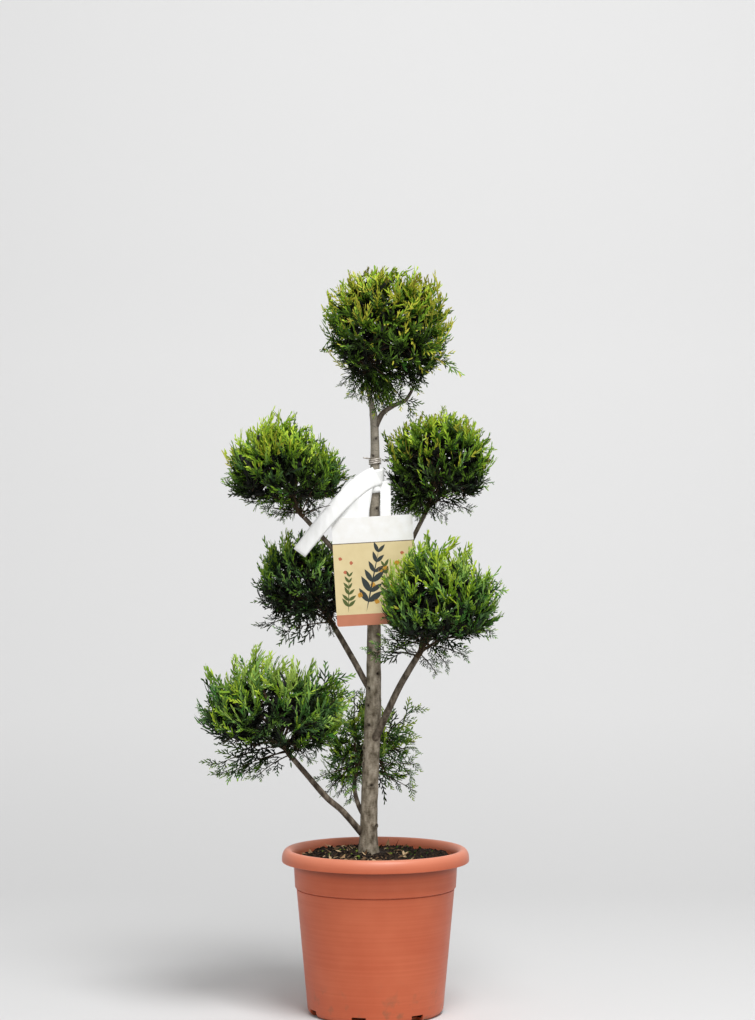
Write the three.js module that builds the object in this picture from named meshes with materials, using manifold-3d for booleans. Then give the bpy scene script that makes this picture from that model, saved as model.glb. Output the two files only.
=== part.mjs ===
// A young Leyland cypress clipped into seven pompons, in a terracotta-coloured plastic pot.
// Millimetres, +Z up. The origin is the centre of the pot's underside, and the front faces -Y.
import * as THREE from "three";
import { mergeVertices } from "three/addons/utils/BufferGeometryUtils.js";
import Module from "manifold-3d";

const wasm = await Module();
wasm.setup();

// Clearance between neighbouring pieces, and a little more where one has flat facets inside another's curve
const GAP = 0.3;
const SNUG = 0.36;

// Pot: a tapered body, a wider collar and a rolled lip that is open underneath
const POT_SIDES = 32;
const POT_HEIGHT = 218;
const LIP_RADIUS = 125;
const LIP_FOOT = 199;
const LIP_HALF_WIDTH = 8;
const LIP_ROLL_HEIGHT = 12;
const LIP_ROLL_STEPS = 4;
const COLLAR_TOP_RADIUS = 109.4;
const COLLAR_FOOT_RADIUS = 107.6;
const COLLAR_FOOT = 163;
const COLLAR_STEP = 3;
const BODY_TOP_RADIUS = 105.6;
const BODY_FOOT_RADIUS = 91;
const BASE_RADIUS = 84;
const BASE_CORNER = 8;
const WALL = 2.4;
const FLOOR = 4;
const DRAIN_SLOTS = 7;
const DRAIN_SLOT_WIDTH = 19;
const DRAIN_SLOT_HEIGHT = 9;
const DRAIN_SLOT_DEPTH = 13;
const DRAIN_SLOT_TURN = THREE.MathUtils.degToRad(-104);

// Compost, mounded a little towards the trunk
const SOIL_EDGE = 203;
const SOIL_MOUND = 213;
const SOIL_SEAT_RADIUS = 24;
const SOIL_ROUGHNESS = 2.4;
const SOIL_RINGS = [0.38, 0.58, 0.8]; // shares of the way from the middle to the wall
const SOIL_SLOPE = 1.5;
const SOIL_SEED = 9;

// Trunk: straight to its fork, with a thinner leader that leans left into the top pompon
const TRUNK_SIDES = 12;
const TRUNK_STEPS = 22;
const TRUNK_FOOT_RADIUS = 11.7;
const TRUNK_FORK_RADIUS = 5.3;
const TRUNK_TIP_RADIUS = 2.6;
const TRUNK_TAPER = 1.35;
const TRUNK_FORK_SHARE = 0.915;
const ROOT_FLARE = 2.8;
const ROOT_FLARE_HEIGHT = 14;
const TRUNK_FOOT = SOIL_MOUND + GAP;
const TRUNK_PATH = [
  [-9.6, 0, TRUNK_FOOT],
  [-8.8, 0, 262],
  [-2.9, 1, 421],
  [-2, 0, 575],
  [-1.3, 0, 778],
  [-3.5, 0, 802],
  [-14, 3, 852],
];

// Boughs: the path runs from the trunk's axis to where the bough enters its pompon
const BOUGH_SIDES = 7;
const BOUGH_STEPS = 8;
const BOUGH_COLLAR = 1.6;
const BOUGH_COLLAR_SHARE = 0.22;
const BOUGHS = [
  {
    name: "bough_low_left",
    radii: [4.5, 3.5],
    path: [
      [-9, 0, 230],
      [-19.5, -2, 240],
      [-44.5, -5, 268.5],
      [-64, -8, 285.5],
      [-92, -12, 318],
      [-109, -13.5, 338],
    ],
  },
  {
    name: "bough_low_back",
    radii: [3.6, 2.7],
    path: [[-8.8, 0, 252], [-21, 11, 270], [-28, 24, 292], [-28, 34, 306]],
  },
  {
    name: "bough_mid_left",
    radii: [4.3, 3.7],
    path: [[-3, 0, 424], [-14.6, 3, 442], [-29, 10, 468], [-53, 26, 508]],
  },
  {
    name: "bough_mid_right",
    radii: [4.9, 4.1],
    path: [[-5, 0, 360], [3, -11, 372], [14.4, -18, 398], [33, -30, 438], [55, -41, 476]],
  },
  {
    name: "bough_upper_left",
    radii: [4.0, 3.0],
    path: [[-2, 0, 546], [-34, -4, 590], [-59, -7, 620.5], [-95, -9, 660]],
  },
  {
    name: "bough_upper_right",
    radii: [3.6, 2.8],
    path: [[-2, 0, 534], [12.7, 2, 560], [33, 6, 595], [51, 10, 634], [66, 13, 664]],
  },
  {
    name: "bough_top_right",
    radii: [4.2, 1.8],
    path: [[-1.5, 0, 781], [5.5, 0.5, 793], [10.5, 1, 800.5], [24, 2, 809.5], [40, 3, 817], [52, 4, 836]],
  },
];

// Pompons: each fills an ellipsoid, and its stem carries on from the named limb's end
const POMPONS = [
  { side: "top", limb: "trunk", centre: [16.7, 2, 900], reach: [88, 88, 97], seed: 1 },
  { side: "upper_left", limb: "bough_upper_left", centre: [-118, -10, 727], reach: [86, 80, 76], seed: 2 },
  { side: "upper_right", limb: "bough_upper_right", centre: [84, 15, 729], reach: [75, 76, 80], seed: 3 },
  { side: "mid_left", limb: "bough_mid_left", centre: [-101, 35, 573], reach: [69, 70, 77], seed: 4 },
  { side: "mid_right", limb: "bough_mid_right", centre: [85, -58, 546], reach: [82, 80, 84], seed: 5 },
  { side: "low_left", limb: "bough_low_left", centre: [-138, -15, 402], reach: [102, 88, 90], seed: 6 },
  { side: "low_back", limb: "bough_low_back", centre: [-6, 85, 341], reach: [69, 63, 81], seed: 7 },
];
const GOLDEN_ANGLE = Math.PI * (3 - Math.sqrt(5));
const STEM_SIDES = 5;
const STEM_STEPS = 4;
const STEM_TIP_RADIUS = 1.8;
const STEM_LEAD = 12; // the stem runs straight on from its limb this far
const STEM_TOP = 0.2; // and ends this share of the reach above the centre
const CORE_SHARES = [0.5, 0.78]; // of the reach, from its hollows to its tufts
const CORE_UNDERSIDE = 0.4; // how much shallower it is underneath
const CORE_CLEARANCE = 9;
const TWIGS = 12;
const TWIG_SIDES = 3;
const TWIG_STEPS = 2;
const TWIG_REACH = 0.56;
const TWIG_ROOTS = [0.3, 0.95]; // shares of the stem, from the lowest twig to the highest
const TWIG_LIFT = 0.1;
const TWIG_RADII = [2.1, 1.2];
const SPRAYS = 34;
const SPRAY_TIPS = [0.95, 1.05]; // shares of the reach
const SPRAY_ROLL_SEED = 20;
const SPRAY_SHORTEST = 24;
const SPRAY_HALF_THICKNESS = 1.1;
const SPRAY_SINK = 1.5;
const SPRAY_DROP = 0.45; // how far down its twig a spray leaves, as its aim turns away
const SPRAY_WIDEST_TURN = 0.7; // radians
const LIMB_CLEARANCE = 2;
const LIMB_SPOT_SPACING = 3;
const TAIL_SPOTS = 30;
// Half of a spray's outline, as shares of its length: three pointed fingers from a short stalk
const SPRAY_OUTLINE = [[0.25, 0.08], [0.74, 0.36], [0.58, 0.1]];
const SPRAY_RIDGE = 0.36;

// Label: a blank card that hangs by a strap looped round the trunk
const CARD_WIDTH = 108;
const CARD_HEIGHT = 144;
const CARD_CORNER = 3;
const CARD_THICKNESS = 0.8;
const CARD_CENTRE = [-1, -17.4, 589.5];
const CARD_TURN = THREE.MathUtils.degToRad(3.3);
const STRAP_THICKNESS = 0.8;
const LOOP_FOOT = 693;
const LOOP_HEIGHT = 31;
const LOOP_RADIUS = 9.6;
const LOOP_CENTRE = [1, 0];
const LOOP_SIDES = 16;
const NECK_WIDTH = 14;
const NECK_X = 13.5;
const NECK_OVERLAP = 12;
const TAIL_TOP = [-4, -9.2, 713];
const TAIL_RUN = 97;
const TAIL_FALL = 100;
const TAIL_CURVE = 1.3;
const TAIL_BOW = 14;
const TAIL_WIDTHS = [26, 19];
const TAIL_STEPS = 6;

// Wire tie, two turns round the trunk just above the strap
const TIE_FOOT = 731;
const TIE_TURNS = 2;
const TIE_PITCH = 3;
const TIE_WIRE_RADIUS = 0.8;
const TIE_STEPS = 20;
const TIE_SIDES = 5;

const COLOURS = {
  pot: { color: 0xc0654a, roughness: 0.55, metalness: 0 },
  soil: { color: 0x2a211b, roughness: 1, metalness: 0 },
  bark: { color: 0x857d70, roughness: 0.9, metalness: 0 },
  foliage: { color: 0x4c7a22, roughness: 0.7, metalness: 0 },
  card: { color: 0xe6d8b4, roughness: 0.5, metalness: 0 },
  strap: { color: 0xf2f2f0, roughness: 0.5, metalness: 0 },
  wire: { color: 0x8a8378, roughness: 0.5, metalness: 0.6 },
};

const tree = new THREE.Group();

function vector(values) {
  return new THREE.Vector3(...values);
}

// A repeatable number from 0 to 1 for a pair of whole numbers.
function chance(seed, index) {
  const wave = Math.sin(seed * 12.9898 + index * 78.233) * 43758.5453;
  return wave - Math.floor(wave);
}

// A closed geometry as a solid, whichever way its faces were wound.
function solidOf(geometry) {
  const bare = new THREE.BufferGeometry();
  bare.setAttribute("position", geometry.getAttribute("position"));
  bare.setIndex(geometry.getIndex());
  const merged = mergeVertices(bare, 1e-4);
  const corners = merged.getIndex().array;
  const faces = [];
  for (let i = 0; i < corners.length; i += 3) {
    const [a, b, c] = [corners[i], corners[i + 1], corners[i + 2]];
    if (a !== b && b !== c && c !== a) faces.push(a, b, c);
  }
  const build = (triVerts) => {
    const vertProperties = new Float32Array(merged.getAttribute("position").array);
    return new wasm.Manifold(new wasm.Mesh({ numProp: 3, vertProperties, triVerts }));
  };
  const solid = build(new Uint32Array(faces));
  return solid.volume() > 0 ? solid : build(new Uint32Array(faces.reverse()));
}

// The solid's largest body, which leaves out loose scraps and fills sealed hollows.
function largestBody(solid) {
  const bodies = solid.decompose();
  return bodies.reduce((best, body) => (body.volume() > best.volume() ? body : best));
}

function addPiece(name, solid, finish) {
  const mesh = largestBody(solid).getMesh();
  const geometry = new THREE.BufferGeometry();
  geometry.setAttribute("position", new THREE.BufferAttribute(mesh.vertProperties, 3));
  geometry.setIndex(new THREE.BufferAttribute(mesh.triVerts, 1));
  geometry.computeVertexNormals();
  const piece = new THREE.Mesh(geometry, new THREE.MeshStandardMaterial(COLOURS[finish]));
  piece.name = name;
  tree.add(piece);
}

// A profile of [radius, height] pairs turned about the Z axis.
function turned(profile, sides) {
  const points = profile.map(([radius, height]) => new THREE.Vector2(radius, height));
  return new THREE.LatheGeometry(points, sides).rotateX(Math.PI / 2);
}

// A limb is a closed cylinder bent along a smooth curve. Its radius is a function of the share of its length.
function limbAlong(points, radiusAt, sides, steps) {
  const curve = new THREE.CatmullRomCurve3(points, false, "centripetal");
  const { tangents, normals, binormals } = curve.computeFrenetFrames(steps, false);
  const geometry = new THREE.CylinderGeometry(1, 1, 1, sides, steps);
  const position = geometry.getAttribute("position");
  for (let i = 0; i < position.count; i++) {
    const step = Math.round((position.getY(i) + 0.5) * steps);
    const at = curve.getPointAt(step / steps);
    const radius = radiusAt(step / steps);
    at.addScaledVector(normals[step], position.getX(i) * radius);
    at.addScaledVector(binormals[step], -position.getZ(i) * radius);
    position.setXYZ(i, at.x, at.y, at.z);
  }
  return { curve, radiusAt, geometry, end: curve.getPointAt(1), heading: tangents[steps] };
}

// Pot
// The lip's rolled top in section: half an ellipse, drawn in by a margin, from its inner foot outwards.
function lipRoll(margin) {
  const points = [];
  for (let i = 0; i <= LIP_ROLL_STEPS; i++) {
    const turn = Math.PI * (1 - i / LIP_ROLL_STEPS);
    const radius = LIP_RADIUS - LIP_HALF_WIDTH + (LIP_HALF_WIDTH - margin) * Math.cos(turn);
    points.push([radius, POT_HEIGHT - LIP_ROLL_HEIGHT + (LIP_ROLL_HEIGHT - margin) * Math.sin(turn)]);
  }
  return points;
}

// The inside of the pot's wall from lip to floor, drawn in by a margin.
function innerWall(margin) {
  const inset = WALL + margin;
  return [
    [COLLAR_TOP_RADIUS - inset, LIP_FOOT],
    [COLLAR_FOOT_RADIUS - inset, COLLAR_FOOT + margin],
    [BODY_TOP_RADIUS - inset, COLLAR_FOOT - COLLAR_STEP],
    [BODY_FOOT_RADIUS - inset, BASE_CORNER],
    [BODY_FOOT_RADIUS - 2 * inset, FLOOR + margin],
  ];
}

function potProfile() {
  const bevel = Math.SQRT1_2;
  return [
    [0, 0],
    [BASE_RADIUS, 0],
    [THREE.MathUtils.lerp(BASE_RADIUS, BODY_FOOT_RADIUS, bevel), BASE_CORNER * (1 - bevel)],
    [BODY_FOOT_RADIUS, BASE_CORNER],
    [BODY_TOP_RADIUS, COLLAR_FOOT - COLLAR_STEP],
    [COLLAR_FOOT_RADIUS, COLLAR_FOOT],
    [COLLAR_TOP_RADIUS, LIP_FOOT],
    ...lipRoll(WALL),
    [LIP_RADIUS - WALL, LIP_FOOT],
    [LIP_RADIUS, LIP_FOOT],
    ...lipRoll(0).reverse(),
    ...innerWall(0),
    [0, FLOOR],
  ];
}

function drainSlots() {
  const slots = [];
  for (let i = 0; i < DRAIN_SLOTS; i++) {
    const slot = new THREE.BoxGeometry(2 * DRAIN_SLOT_DEPTH, DRAIN_SLOT_WIDTH, 2 * DRAIN_SLOT_HEIGHT);
    slot.translate(BODY_FOOT_RADIUS, 0, 0);
    slot.rotateZ(DRAIN_SLOT_TURN + (i * 2 * Math.PI) / DRAIN_SLOTS);
    slots.push(solidOf(slot));
  }
  return wasm.Manifold.union(slots);
}

addPiece("pot", solidOf(turned(potProfile(), POT_SIDES)).subtract(drainSlots()), "pot");

// Compost: its side follows the pot's inside, and its top is rough except under the trunk
function soilGeometry() {
  const wall = innerWall(SNUG);
  const edge = wall[0][0];
  const slope = SOIL_RINGS.map((share) => {
    return [edge * share, THREE.MathUtils.lerp(SOIL_MOUND, SOIL_EDGE, share ** SOIL_SLOPE)];
  });
  const top = [[0, SOIL_MOUND], [SOIL_SEAT_RADIUS, SOIL_MOUND], ...slope, [edge, SOIL_EDGE]];
  const geometry = turned([...top, ...wall, [0, wall.at(-1)[1]]], POT_SIDES);
  const position = geometry.getAttribute("position");
  for (let i = 0; i < position.count; i++) {
    const radius = Math.hypot(position.getX(i), position.getY(i));
    const lumpy = position.getZ(i) > SOIL_EDGE && radius > SOIL_SEAT_RADIUS + 1;
    if (!lumpy) continue;
    const spot = Math.round(position.getX(i)) * 31 + Math.round(position.getY(i));
    position.setZ(i, position.getZ(i) + SOIL_ROUGHNESS * (2 * chance(SOIL_SEED, spot) - 1));
  }
  return geometry;
}

addPiece("soil", solidOf(soilGeometry()), "soil");

// Trunk
function trunkShareAt(height) {
  return (height - TRUNK_FOOT) / (TRUNK_PATH.at(-1)[2] - TRUNK_FOOT);
}

function trunkRadius(share) {
  const height = share * (TRUNK_PATH.at(-1)[2] - TRUNK_FOOT);
  const flare = ROOT_FLARE * Math.exp(-height / ROOT_FLARE_HEIGHT);
  const toFork = Math.min(1, share / TRUNK_FORK_SHARE);
  const toTip = Math.max(0, share - TRUNK_FORK_SHARE) / (1 - TRUNK_FORK_SHARE);
  const shaft = THREE.MathUtils.lerp(TRUNK_FOOT_RADIUS, TRUNK_FORK_RADIUS, toFork ** TRUNK_TAPER);
  return flare + shaft + (TRUNK_TIP_RADIUS - TRUNK_FORK_RADIUS) * Math.sqrt(toTip);
}

// The trunk stands on a level cut, whatever its lean there.
function levelFoot(geometry) {
  const position = geometry.getAttribute("position");
  for (let i = 0; i < position.count; i++) {
    if (position.getZ(i) < TRUNK_FOOT + 1) position.setZ(i, TRUNK_FOOT);
  }
  return geometry;
}

const trunkPoints = TRUNK_PATH.map(vector);
const trunk = limbAlong(trunkPoints, trunkRadius, TRUNK_SIDES, TRUNK_STEPS);
addPiece("trunk", solidOf(levelFoot(trunk.geometry)), "bark");

// Boughs, each cut to a saddle that sits a gap clear of the trunk
const limbs = new Map([["trunk", trunk]]);
const trunkWithGap = solidOf(
  limbAlong(trunkPoints, (share) => trunkRadius(share) + SNUG, TRUNK_SIDES, TRUNK_STEPS).geometry,
);
for (const { name, radii, path } of BOUGHS) {
  const radiusAt = (share) => {
    const collar = BOUGH_COLLAR * Math.max(0, 1 - share / BOUGH_COLLAR_SHARE) ** 2;
    return collar + THREE.MathUtils.lerp(radii[0], radii[1], share);
  };
  const bough = limbAlong(path.map(vector), radiusAt, BOUGH_SIDES, BOUGH_STEPS);
  limbs.set(name, bough);
  addPiece(name, solidOf(bough.geometry).subtract(trunkWithGap), "bark");
}

// Label: the card's own frame, the strap's loop, the neck down to the card and the loose tail
const cardFrame = new THREE.Matrix4().makeRotationY(-CARD_TURN).setPosition(...CARD_CENTRE);
const cardFrameBack = cardFrame.clone().invert();

function cardGeometry() {
  const [right, top] = [CARD_WIDTH / 2, CARD_HEIGHT / 2];
  const outline = new THREE.Shape();
  outline.absarc(right - CARD_CORNER, top - CARD_CORNER, CARD_CORNER, 0, Math.PI / 2);
  outline.absarc(CARD_CORNER - right, top - CARD_CORNER, CARD_CORNER, Math.PI / 2, Math.PI);
  outline.absarc(CARD_CORNER - right, CARD_CORNER - top, CARD_CORNER, Math.PI, 1.5 * Math.PI);
  outline.absarc(right - CARD_CORNER, CARD_CORNER - top, CARD_CORNER, 1.5 * Math.PI, 2 * Math.PI);
  const card = new THREE.ExtrudeGeometry(outline, {
    depth: CARD_THICKNESS,
    bevelEnabled: false,
    curveSegments: 3,
  });
  card.translate(0, 0, -CARD_THICKNESS / 2).rotateX(Math.PI / 2);
  return card.applyMatrix4(cardFrame);
}

// The strap's tail is a flat ribbon that falls to the left, steeper as it goes, and bows to the front.
function tailPoint(share) {
  const [x, y, z] = TAIL_TOP;
  const bow = TAIL_BOW * Math.sin((share * Math.PI) / 2);
  return new THREE.Vector3(x - TAIL_RUN * share, y - bow, z - TAIL_FALL * share ** TAIL_CURVE);
}

function tailGeometry() {
  const ribbon = new THREE.BoxGeometry(1, STRAP_THICKNESS, 1, TAIL_STEPS, 1, 1);
  const position = ribbon.getAttribute("position");
  for (let i = 0; i < position.count; i++) {
    const share = 0.5 - position.getX(i);
    const slope = Math.atan2(TAIL_FALL * TAIL_CURVE * share ** (TAIL_CURVE - 1), TAIL_RUN);
    const across = position.getZ(i) * THREE.MathUtils.lerp(TAIL_WIDTHS[0], TAIL_WIDTHS[1], share);
    const at = tailPoint(share);
    position.setXYZ(
      i,
      at.x - across * Math.sin(slope),
      at.y + position.getY(i),
      at.z + across * Math.cos(slope),
    );
  }
  return ribbon;
}

function trunkAxisAt(height) {
  return trunk.curve.getPointAt(trunkShareAt(height));
}

function strapSolid() {
  const [loopX, loopY] = LOOP_CENTRE;
  const outer = LOOP_RADIUS + STRAP_THICKNESS;
  const loop = turned(
    [[LOOP_RADIUS, 0], [outer, 0], [outer, LOOP_HEIGHT], [LOOP_RADIUS, LOOP_HEIGHT], [LOOP_RADIUS, 0]],
    LOOP_SIDES,
  ).translate(loopX, loopY, LOOP_FOOT);
  const neckFoot = CARD_CENTRE[2] + CARD_HEIGHT / 2 - NECK_OVERLAP;
  const neckTop = LOOP_FOOT + LOOP_HEIGHT / 2;
  const neck = new THREE.BoxGeometry(NECK_WIDTH, STRAP_THICKNESS, 1, 1, 1, 3);
  const position = neck.getAttribute("position");
  const cardBack = CARD_CENTRE[1] + CARD_THICKNESS / 2 + GAP + STRAP_THICKNESS / 2;
  const loopSide = loopY - LOOP_RADIUS / 2;
  for (let i = 0; i < position.count; i++) {
    const share = position.getZ(i) + 0.5;
    const bent = THREE.MathUtils.smoothstep(share, 0.34, 1);
    position.setX(i, position.getX(i) + NECK_X);
    position.setY(i, position.getY(i) + THREE.MathUtils.lerp(cardBack, loopSide, bent));
    position.setZ(i, THREE.MathUtils.lerp(neckFoot, neckTop, share));
  }
  return wasm.Manifold.union([solidOf(loop), solidOf(neck), solidOf(tailGeometry())]);
}

addPiece("label_card", solidOf(cardGeometry()), "card");
addPiece("label_strap", strapSolid(), "strap");

// Wire tie
function tieSolid() {
  const height = TIE_TURNS * TIE_PITCH;
  const axis = trunkAxisAt(TIE_FOOT + height / 2);
  const radius = trunkRadius(trunkShareAt(TIE_FOOT)) + TIE_WIRE_RADIUS + 2 * GAP;
  const points = [];
  for (let i = 0; i <= TIE_STEPS; i++) {
    const turn = (i / TIE_STEPS) * TIE_TURNS * 2 * Math.PI;
    const around = new THREE.Vector3(radius * Math.cos(turn), radius * Math.sin(turn), 0);
    points.push(around.add(axis).setZ(TIE_FOOT + (i / TIE_STEPS) * height));
  }
  return solidOf(limbAlong(points, () => TIE_WIRE_RADIUS, TIE_SIDES, TIE_STEPS).geometry);
}

addPiece("wire_tie", tieSolid(), "wire");

// What a twig or spray has to stay clear of: the limbs, the card and the strap's tail
const limbSpots = [];
for (const { curve, radiusAt } of limbs.values()) {
  const spots = Math.ceil(curve.getLength() / LIMB_SPOT_SPACING);
  for (let i = 0; i <= spots; i++) {
    limbSpots.push({ at: curve.getPointAt(i / spots), radius: radiusAt(i / spots) });
  }
}
for (let i = 0; i <= TAIL_SPOTS; i++) {
  limbSpots.push({ at: tailPoint(i / TAIL_SPOTS), radius: TAIL_WIDTHS[0] / 2 });
}
const loopMiddle = trunkAxisAt(LOOP_FOOT + LOOP_HEIGHT / 2);
limbSpots.push({ at: loopMiddle, radius: LOOP_HEIGHT / 2 + STRAP_THICKNESS });

function touchesLimb(point, clearance = LIMB_CLEARANCE) {
  const onCard = point.clone().applyMatrix4(cardFrameBack);
  const nearCard =
    Math.abs(onCard.x) < CARD_WIDTH / 2 + clearance &&
    Math.abs(onCard.y) < 2 * clearance &&
    Math.abs(onCard.z) < CARD_HEIGHT / 2 + clearance;
  return nearCard || limbSpots.some(({ at, radius }) => at.distanceTo(point) < radius + clearance);
}

// Direction number i of n, spread evenly over a sphere on a spiral from top to bottom.
function spiralAim(i, n, seed) {
  const height = 1 - (2 * i + 1) / n;
  const turn = GOLDEN_ANGLE * i + seed;
  const across = Math.sqrt(1 - height * height);
  return new THREE.Vector3(across * Math.cos(turn), across * Math.sin(turn), height);
}

// A spray is a thin three-fingered blade along +X, thickest on a ridge near its stalk.
function sprayGeometry(length) {
  const side = SPRAY_OUTLINE.map(([along, out]) => [along * length, out * length]);
  const mirrored = [...side].reverse().map(([along, out]) => [along, -out]);
  const rim = [[-SPRAY_SINK, 0], ...side, [length, 0], ...mirrored];
  const corners = rim.flatMap(([along, out]) => [along, out, 0]);
  corners.push(SPRAY_RIDGE * length, 0, SPRAY_HALF_THICKNESS);
  corners.push(SPRAY_RIDGE * length, 0, -SPRAY_HALF_THICKNESS);
  const faces = rim.flatMap((_, i) => {
    const next = (i + 1) % rim.length;
    return [i, rim.length, next, i, next, rim.length + 1];
  });
  const geometry = new THREE.BufferGeometry();
  geometry.setAttribute("position", new THREE.Float32BufferAttribute(corners, 3));
  geometry.setIndex(faces);
  return geometry;
}

// A spray from root to tip, its blade rolled about that line, or null where it touches a limb.
function spraySolid(root, tip, roll) {
  const ahead = tip.clone().sub(root);
  const length = ahead.length();
  ahead.normalize();
  const turn = new THREE.Quaternion().setFromUnitVectors(new THREE.Vector3(1, 0, 0), ahead);
  const rolled = new THREE.Quaternion().setFromAxisAngle(new THREE.Vector3(1, 0, 0), roll);
  const frame = new THREE.Matrix4().compose(root, turn.multiply(rolled), new THREE.Vector3(1, 1, 1));
  const blade = sprayGeometry(length).applyMatrix4(frame);
  const position = blade.getAttribute("position");
  for (let i = 1; i < position.count; i++) {
    const corner = new THREE.Vector3().fromBufferAttribute(position, i);
    if ([0, 0.25, 0.5, 0.75].some((share) => touchesLimb(corner.clone().lerp(root, share)))) return null;
  }
  return solidOf(blade);
}

// A pompon: stem, core, twigs aimed on a coarse spiral, and sprays aimed on a fine one.
// Each spray leaves the twig whose aim is nearest, lower down the more the two aims differ.
function pomponSolid({ limb, centre, reach, seed }) {
  const { end, heading, radiusAt: limbRadius } = limbs.get(limb);
  const [middle, spread] = [vector(centre), vector(reach)];
  const placed = (aim, share) => aim.clone().multiply(spread).multiplyScalar(share).add(middle);

  const foot = end.clone().addScaledVector(heading, GAP);
  const bend = foot.clone().addScaledVector(heading, STEM_LEAD);
  const top = placed(new THREE.Vector3(0, 0, 1), STEM_TOP);
  const stemRadius = (share) => THREE.MathUtils.lerp(limbRadius(1), STEM_TIP_RADIUS, share);
  const stem = limbAlong([foot, bend, top], stemRadius, STEM_SIDES, STEM_STEPS);

  const core = new THREE.IcosahedronGeometry(1, 2);
  const knobs = mergeVertices(core.deleteAttribute("normal").deleteAttribute("uv"), 1e-4);
  const position = knobs.getAttribute("position");
  for (let i = 0; i < position.count; i++) {
    const aim = new THREE.Vector3().fromBufferAttribute(position, i);
    let tuft = THREE.MathUtils.lerp(CORE_SHARES[0], CORE_SHARES[1], chance(seed, i));
    tuft *= 1 - CORE_UNDERSIDE * Math.max(0, -aim.z);
    while (tuft > 0.2 && touchesLimb(placed(aim, tuft), CORE_CLEARANCE)) tuft -= 0.05;
    position.setXYZ(i, ...placed(aim, tuft).toArray());
  }
  const pieces = [solidOf(stem.geometry), solidOf(knobs)];

  const twigs = [];
  for (let i = 0; i < TWIGS; i++) {
    const aim = spiralAim(i, TWIGS, seed);
    const tip = placed(aim, TWIG_REACH);
    const root = stem.curve.getPointAt(THREE.MathUtils.mapLinear(aim.z, -1, 1, ...TWIG_ROOTS));
    const knee = root.clone().lerp(tip, 0.5);
    knee.z += TWIG_LIFT * root.distanceTo(tip);
    const radiusAt = (share) => THREE.MathUtils.lerp(TWIG_RADII[0], TWIG_RADII[1], share);
    const twig = limbAlong([root, knee, tip], radiusAt, TWIG_SIDES, TWIG_STEPS);
    const blocked = [0.4, 0.6, 0.8, 1].some((share) => touchesLimb(twig.curve.getPointAt(share)));
    if (blocked) continue;
    twigs.push({ aim, curve: twig.curve });
    pieces.push(solidOf(twig.geometry));
  }

  for (let i = 0; i < SPRAYS; i++) {
    const aim = spiralAim(i, SPRAYS, seed);
    const tip = placed(aim, THREE.MathUtils.lerp(...SPRAY_TIPS, chance(seed, i)));
    const nearest = twigs.reduce((best, twig) => (twig.aim.dot(aim) > best.aim.dot(aim) ? twig : best));
    const turn = Math.min(1, nearest.aim.angleTo(aim) / SPRAY_WIDEST_TURN);
    const root = nearest.curve.getPointAt(1 - SPRAY_DROP * turn);
    if (root.distanceTo(tip) < SPRAY_SHORTEST) continue;
    const spray = spraySolid(root, tip, Math.PI * chance(seed + SPRAY_ROLL_SEED, i));
    if (spray) pieces.push(spray);
  }
  return wasm.Manifold.union(pieces);
}

for (const pompon of POMPONS) {
  addPiece(`pompon_${pompon.side}`, pomponSolid(pompon), "foliage");
}

export default tree;
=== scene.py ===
# %% [markdown]
# # A potted cypress topiary
# The plant is a young Leyland cypress. A gardener has cleared its trunk and clipped the rest into seven
# pompons, and it stands in a terracotta-coloured plastic pot with a card tied to it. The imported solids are
# loaded first as a fixed frame. Every piece below is worked out in the same frame, in metres, so each one
# lands on the solid that it stands for.

import bmesh
import bpy
import numpy as np
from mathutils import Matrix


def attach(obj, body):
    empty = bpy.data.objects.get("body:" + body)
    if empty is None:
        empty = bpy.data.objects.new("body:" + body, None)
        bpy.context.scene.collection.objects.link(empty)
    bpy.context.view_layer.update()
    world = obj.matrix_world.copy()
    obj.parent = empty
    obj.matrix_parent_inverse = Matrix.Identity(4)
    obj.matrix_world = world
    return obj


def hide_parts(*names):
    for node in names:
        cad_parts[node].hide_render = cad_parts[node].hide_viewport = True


MM = 0.001
BODY = "root"

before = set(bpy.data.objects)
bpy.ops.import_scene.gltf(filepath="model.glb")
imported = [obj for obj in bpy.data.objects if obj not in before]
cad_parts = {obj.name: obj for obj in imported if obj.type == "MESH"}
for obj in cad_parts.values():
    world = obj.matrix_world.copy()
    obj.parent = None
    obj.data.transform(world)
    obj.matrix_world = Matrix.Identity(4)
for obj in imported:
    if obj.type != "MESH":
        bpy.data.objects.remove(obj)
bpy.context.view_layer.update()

# %% [markdown]
# Almost every piece here is a surface on a grid, so one helper turns arrays into a mesh object. It writes
# whole arrays with `foreach_set`, which stays fast for a hundred thousand faces. A second helper ties the
# finished piece to the frame: what it rides on and which solids it stands for.
# The others number the faces of a grid, join several meshes into one and close the poles of a turned form.

# %% From arrays to pieces
WELD_DISTANCE = 1e-6


def add_piece(name, points, faces, finishes, face_finish=None, smooth=True):
    """A mesh object: points are (n, 3) in metres, and each row of faces lists 3 or 4 point numbers."""
    mesh = bpy.data.meshes.new(name)
    mesh.vertices.add(len(points))
    mesh.vertices.foreach_set("co", points.astype(np.float32).ravel())
    mesh.loops.add(faces.size)
    mesh.loops.foreach_set("vertex_index", faces.astype(np.int32).ravel())
    mesh.polygons.add(len(faces))
    mesh.polygons.foreach_set("loop_start", np.arange(0, faces.size, faces.shape[1], dtype=np.int32))
    for finish in finishes:
        mesh.materials.append(finish)
    if face_finish is not None:
        mesh.polygons.foreach_set("material_index", face_finish.astype(np.int32))
    mesh.polygons.foreach_set("use_smooth", np.full(len(faces), smooth))
    mesh.update(calc_edges=True)
    piece = bpy.data.objects.new(name, mesh)
    bpy.context.collection.objects.link(piece)
    return piece


def dress(piece, slot, *nodes):
    """The piece moves with the plant and stands for the named solids. The slot is not used."""
    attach(piece, BODY)
    if nodes:
        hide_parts(*nodes)
    print(piece.name, len(piece.data.polygons), "faces")
    return piece


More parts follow.
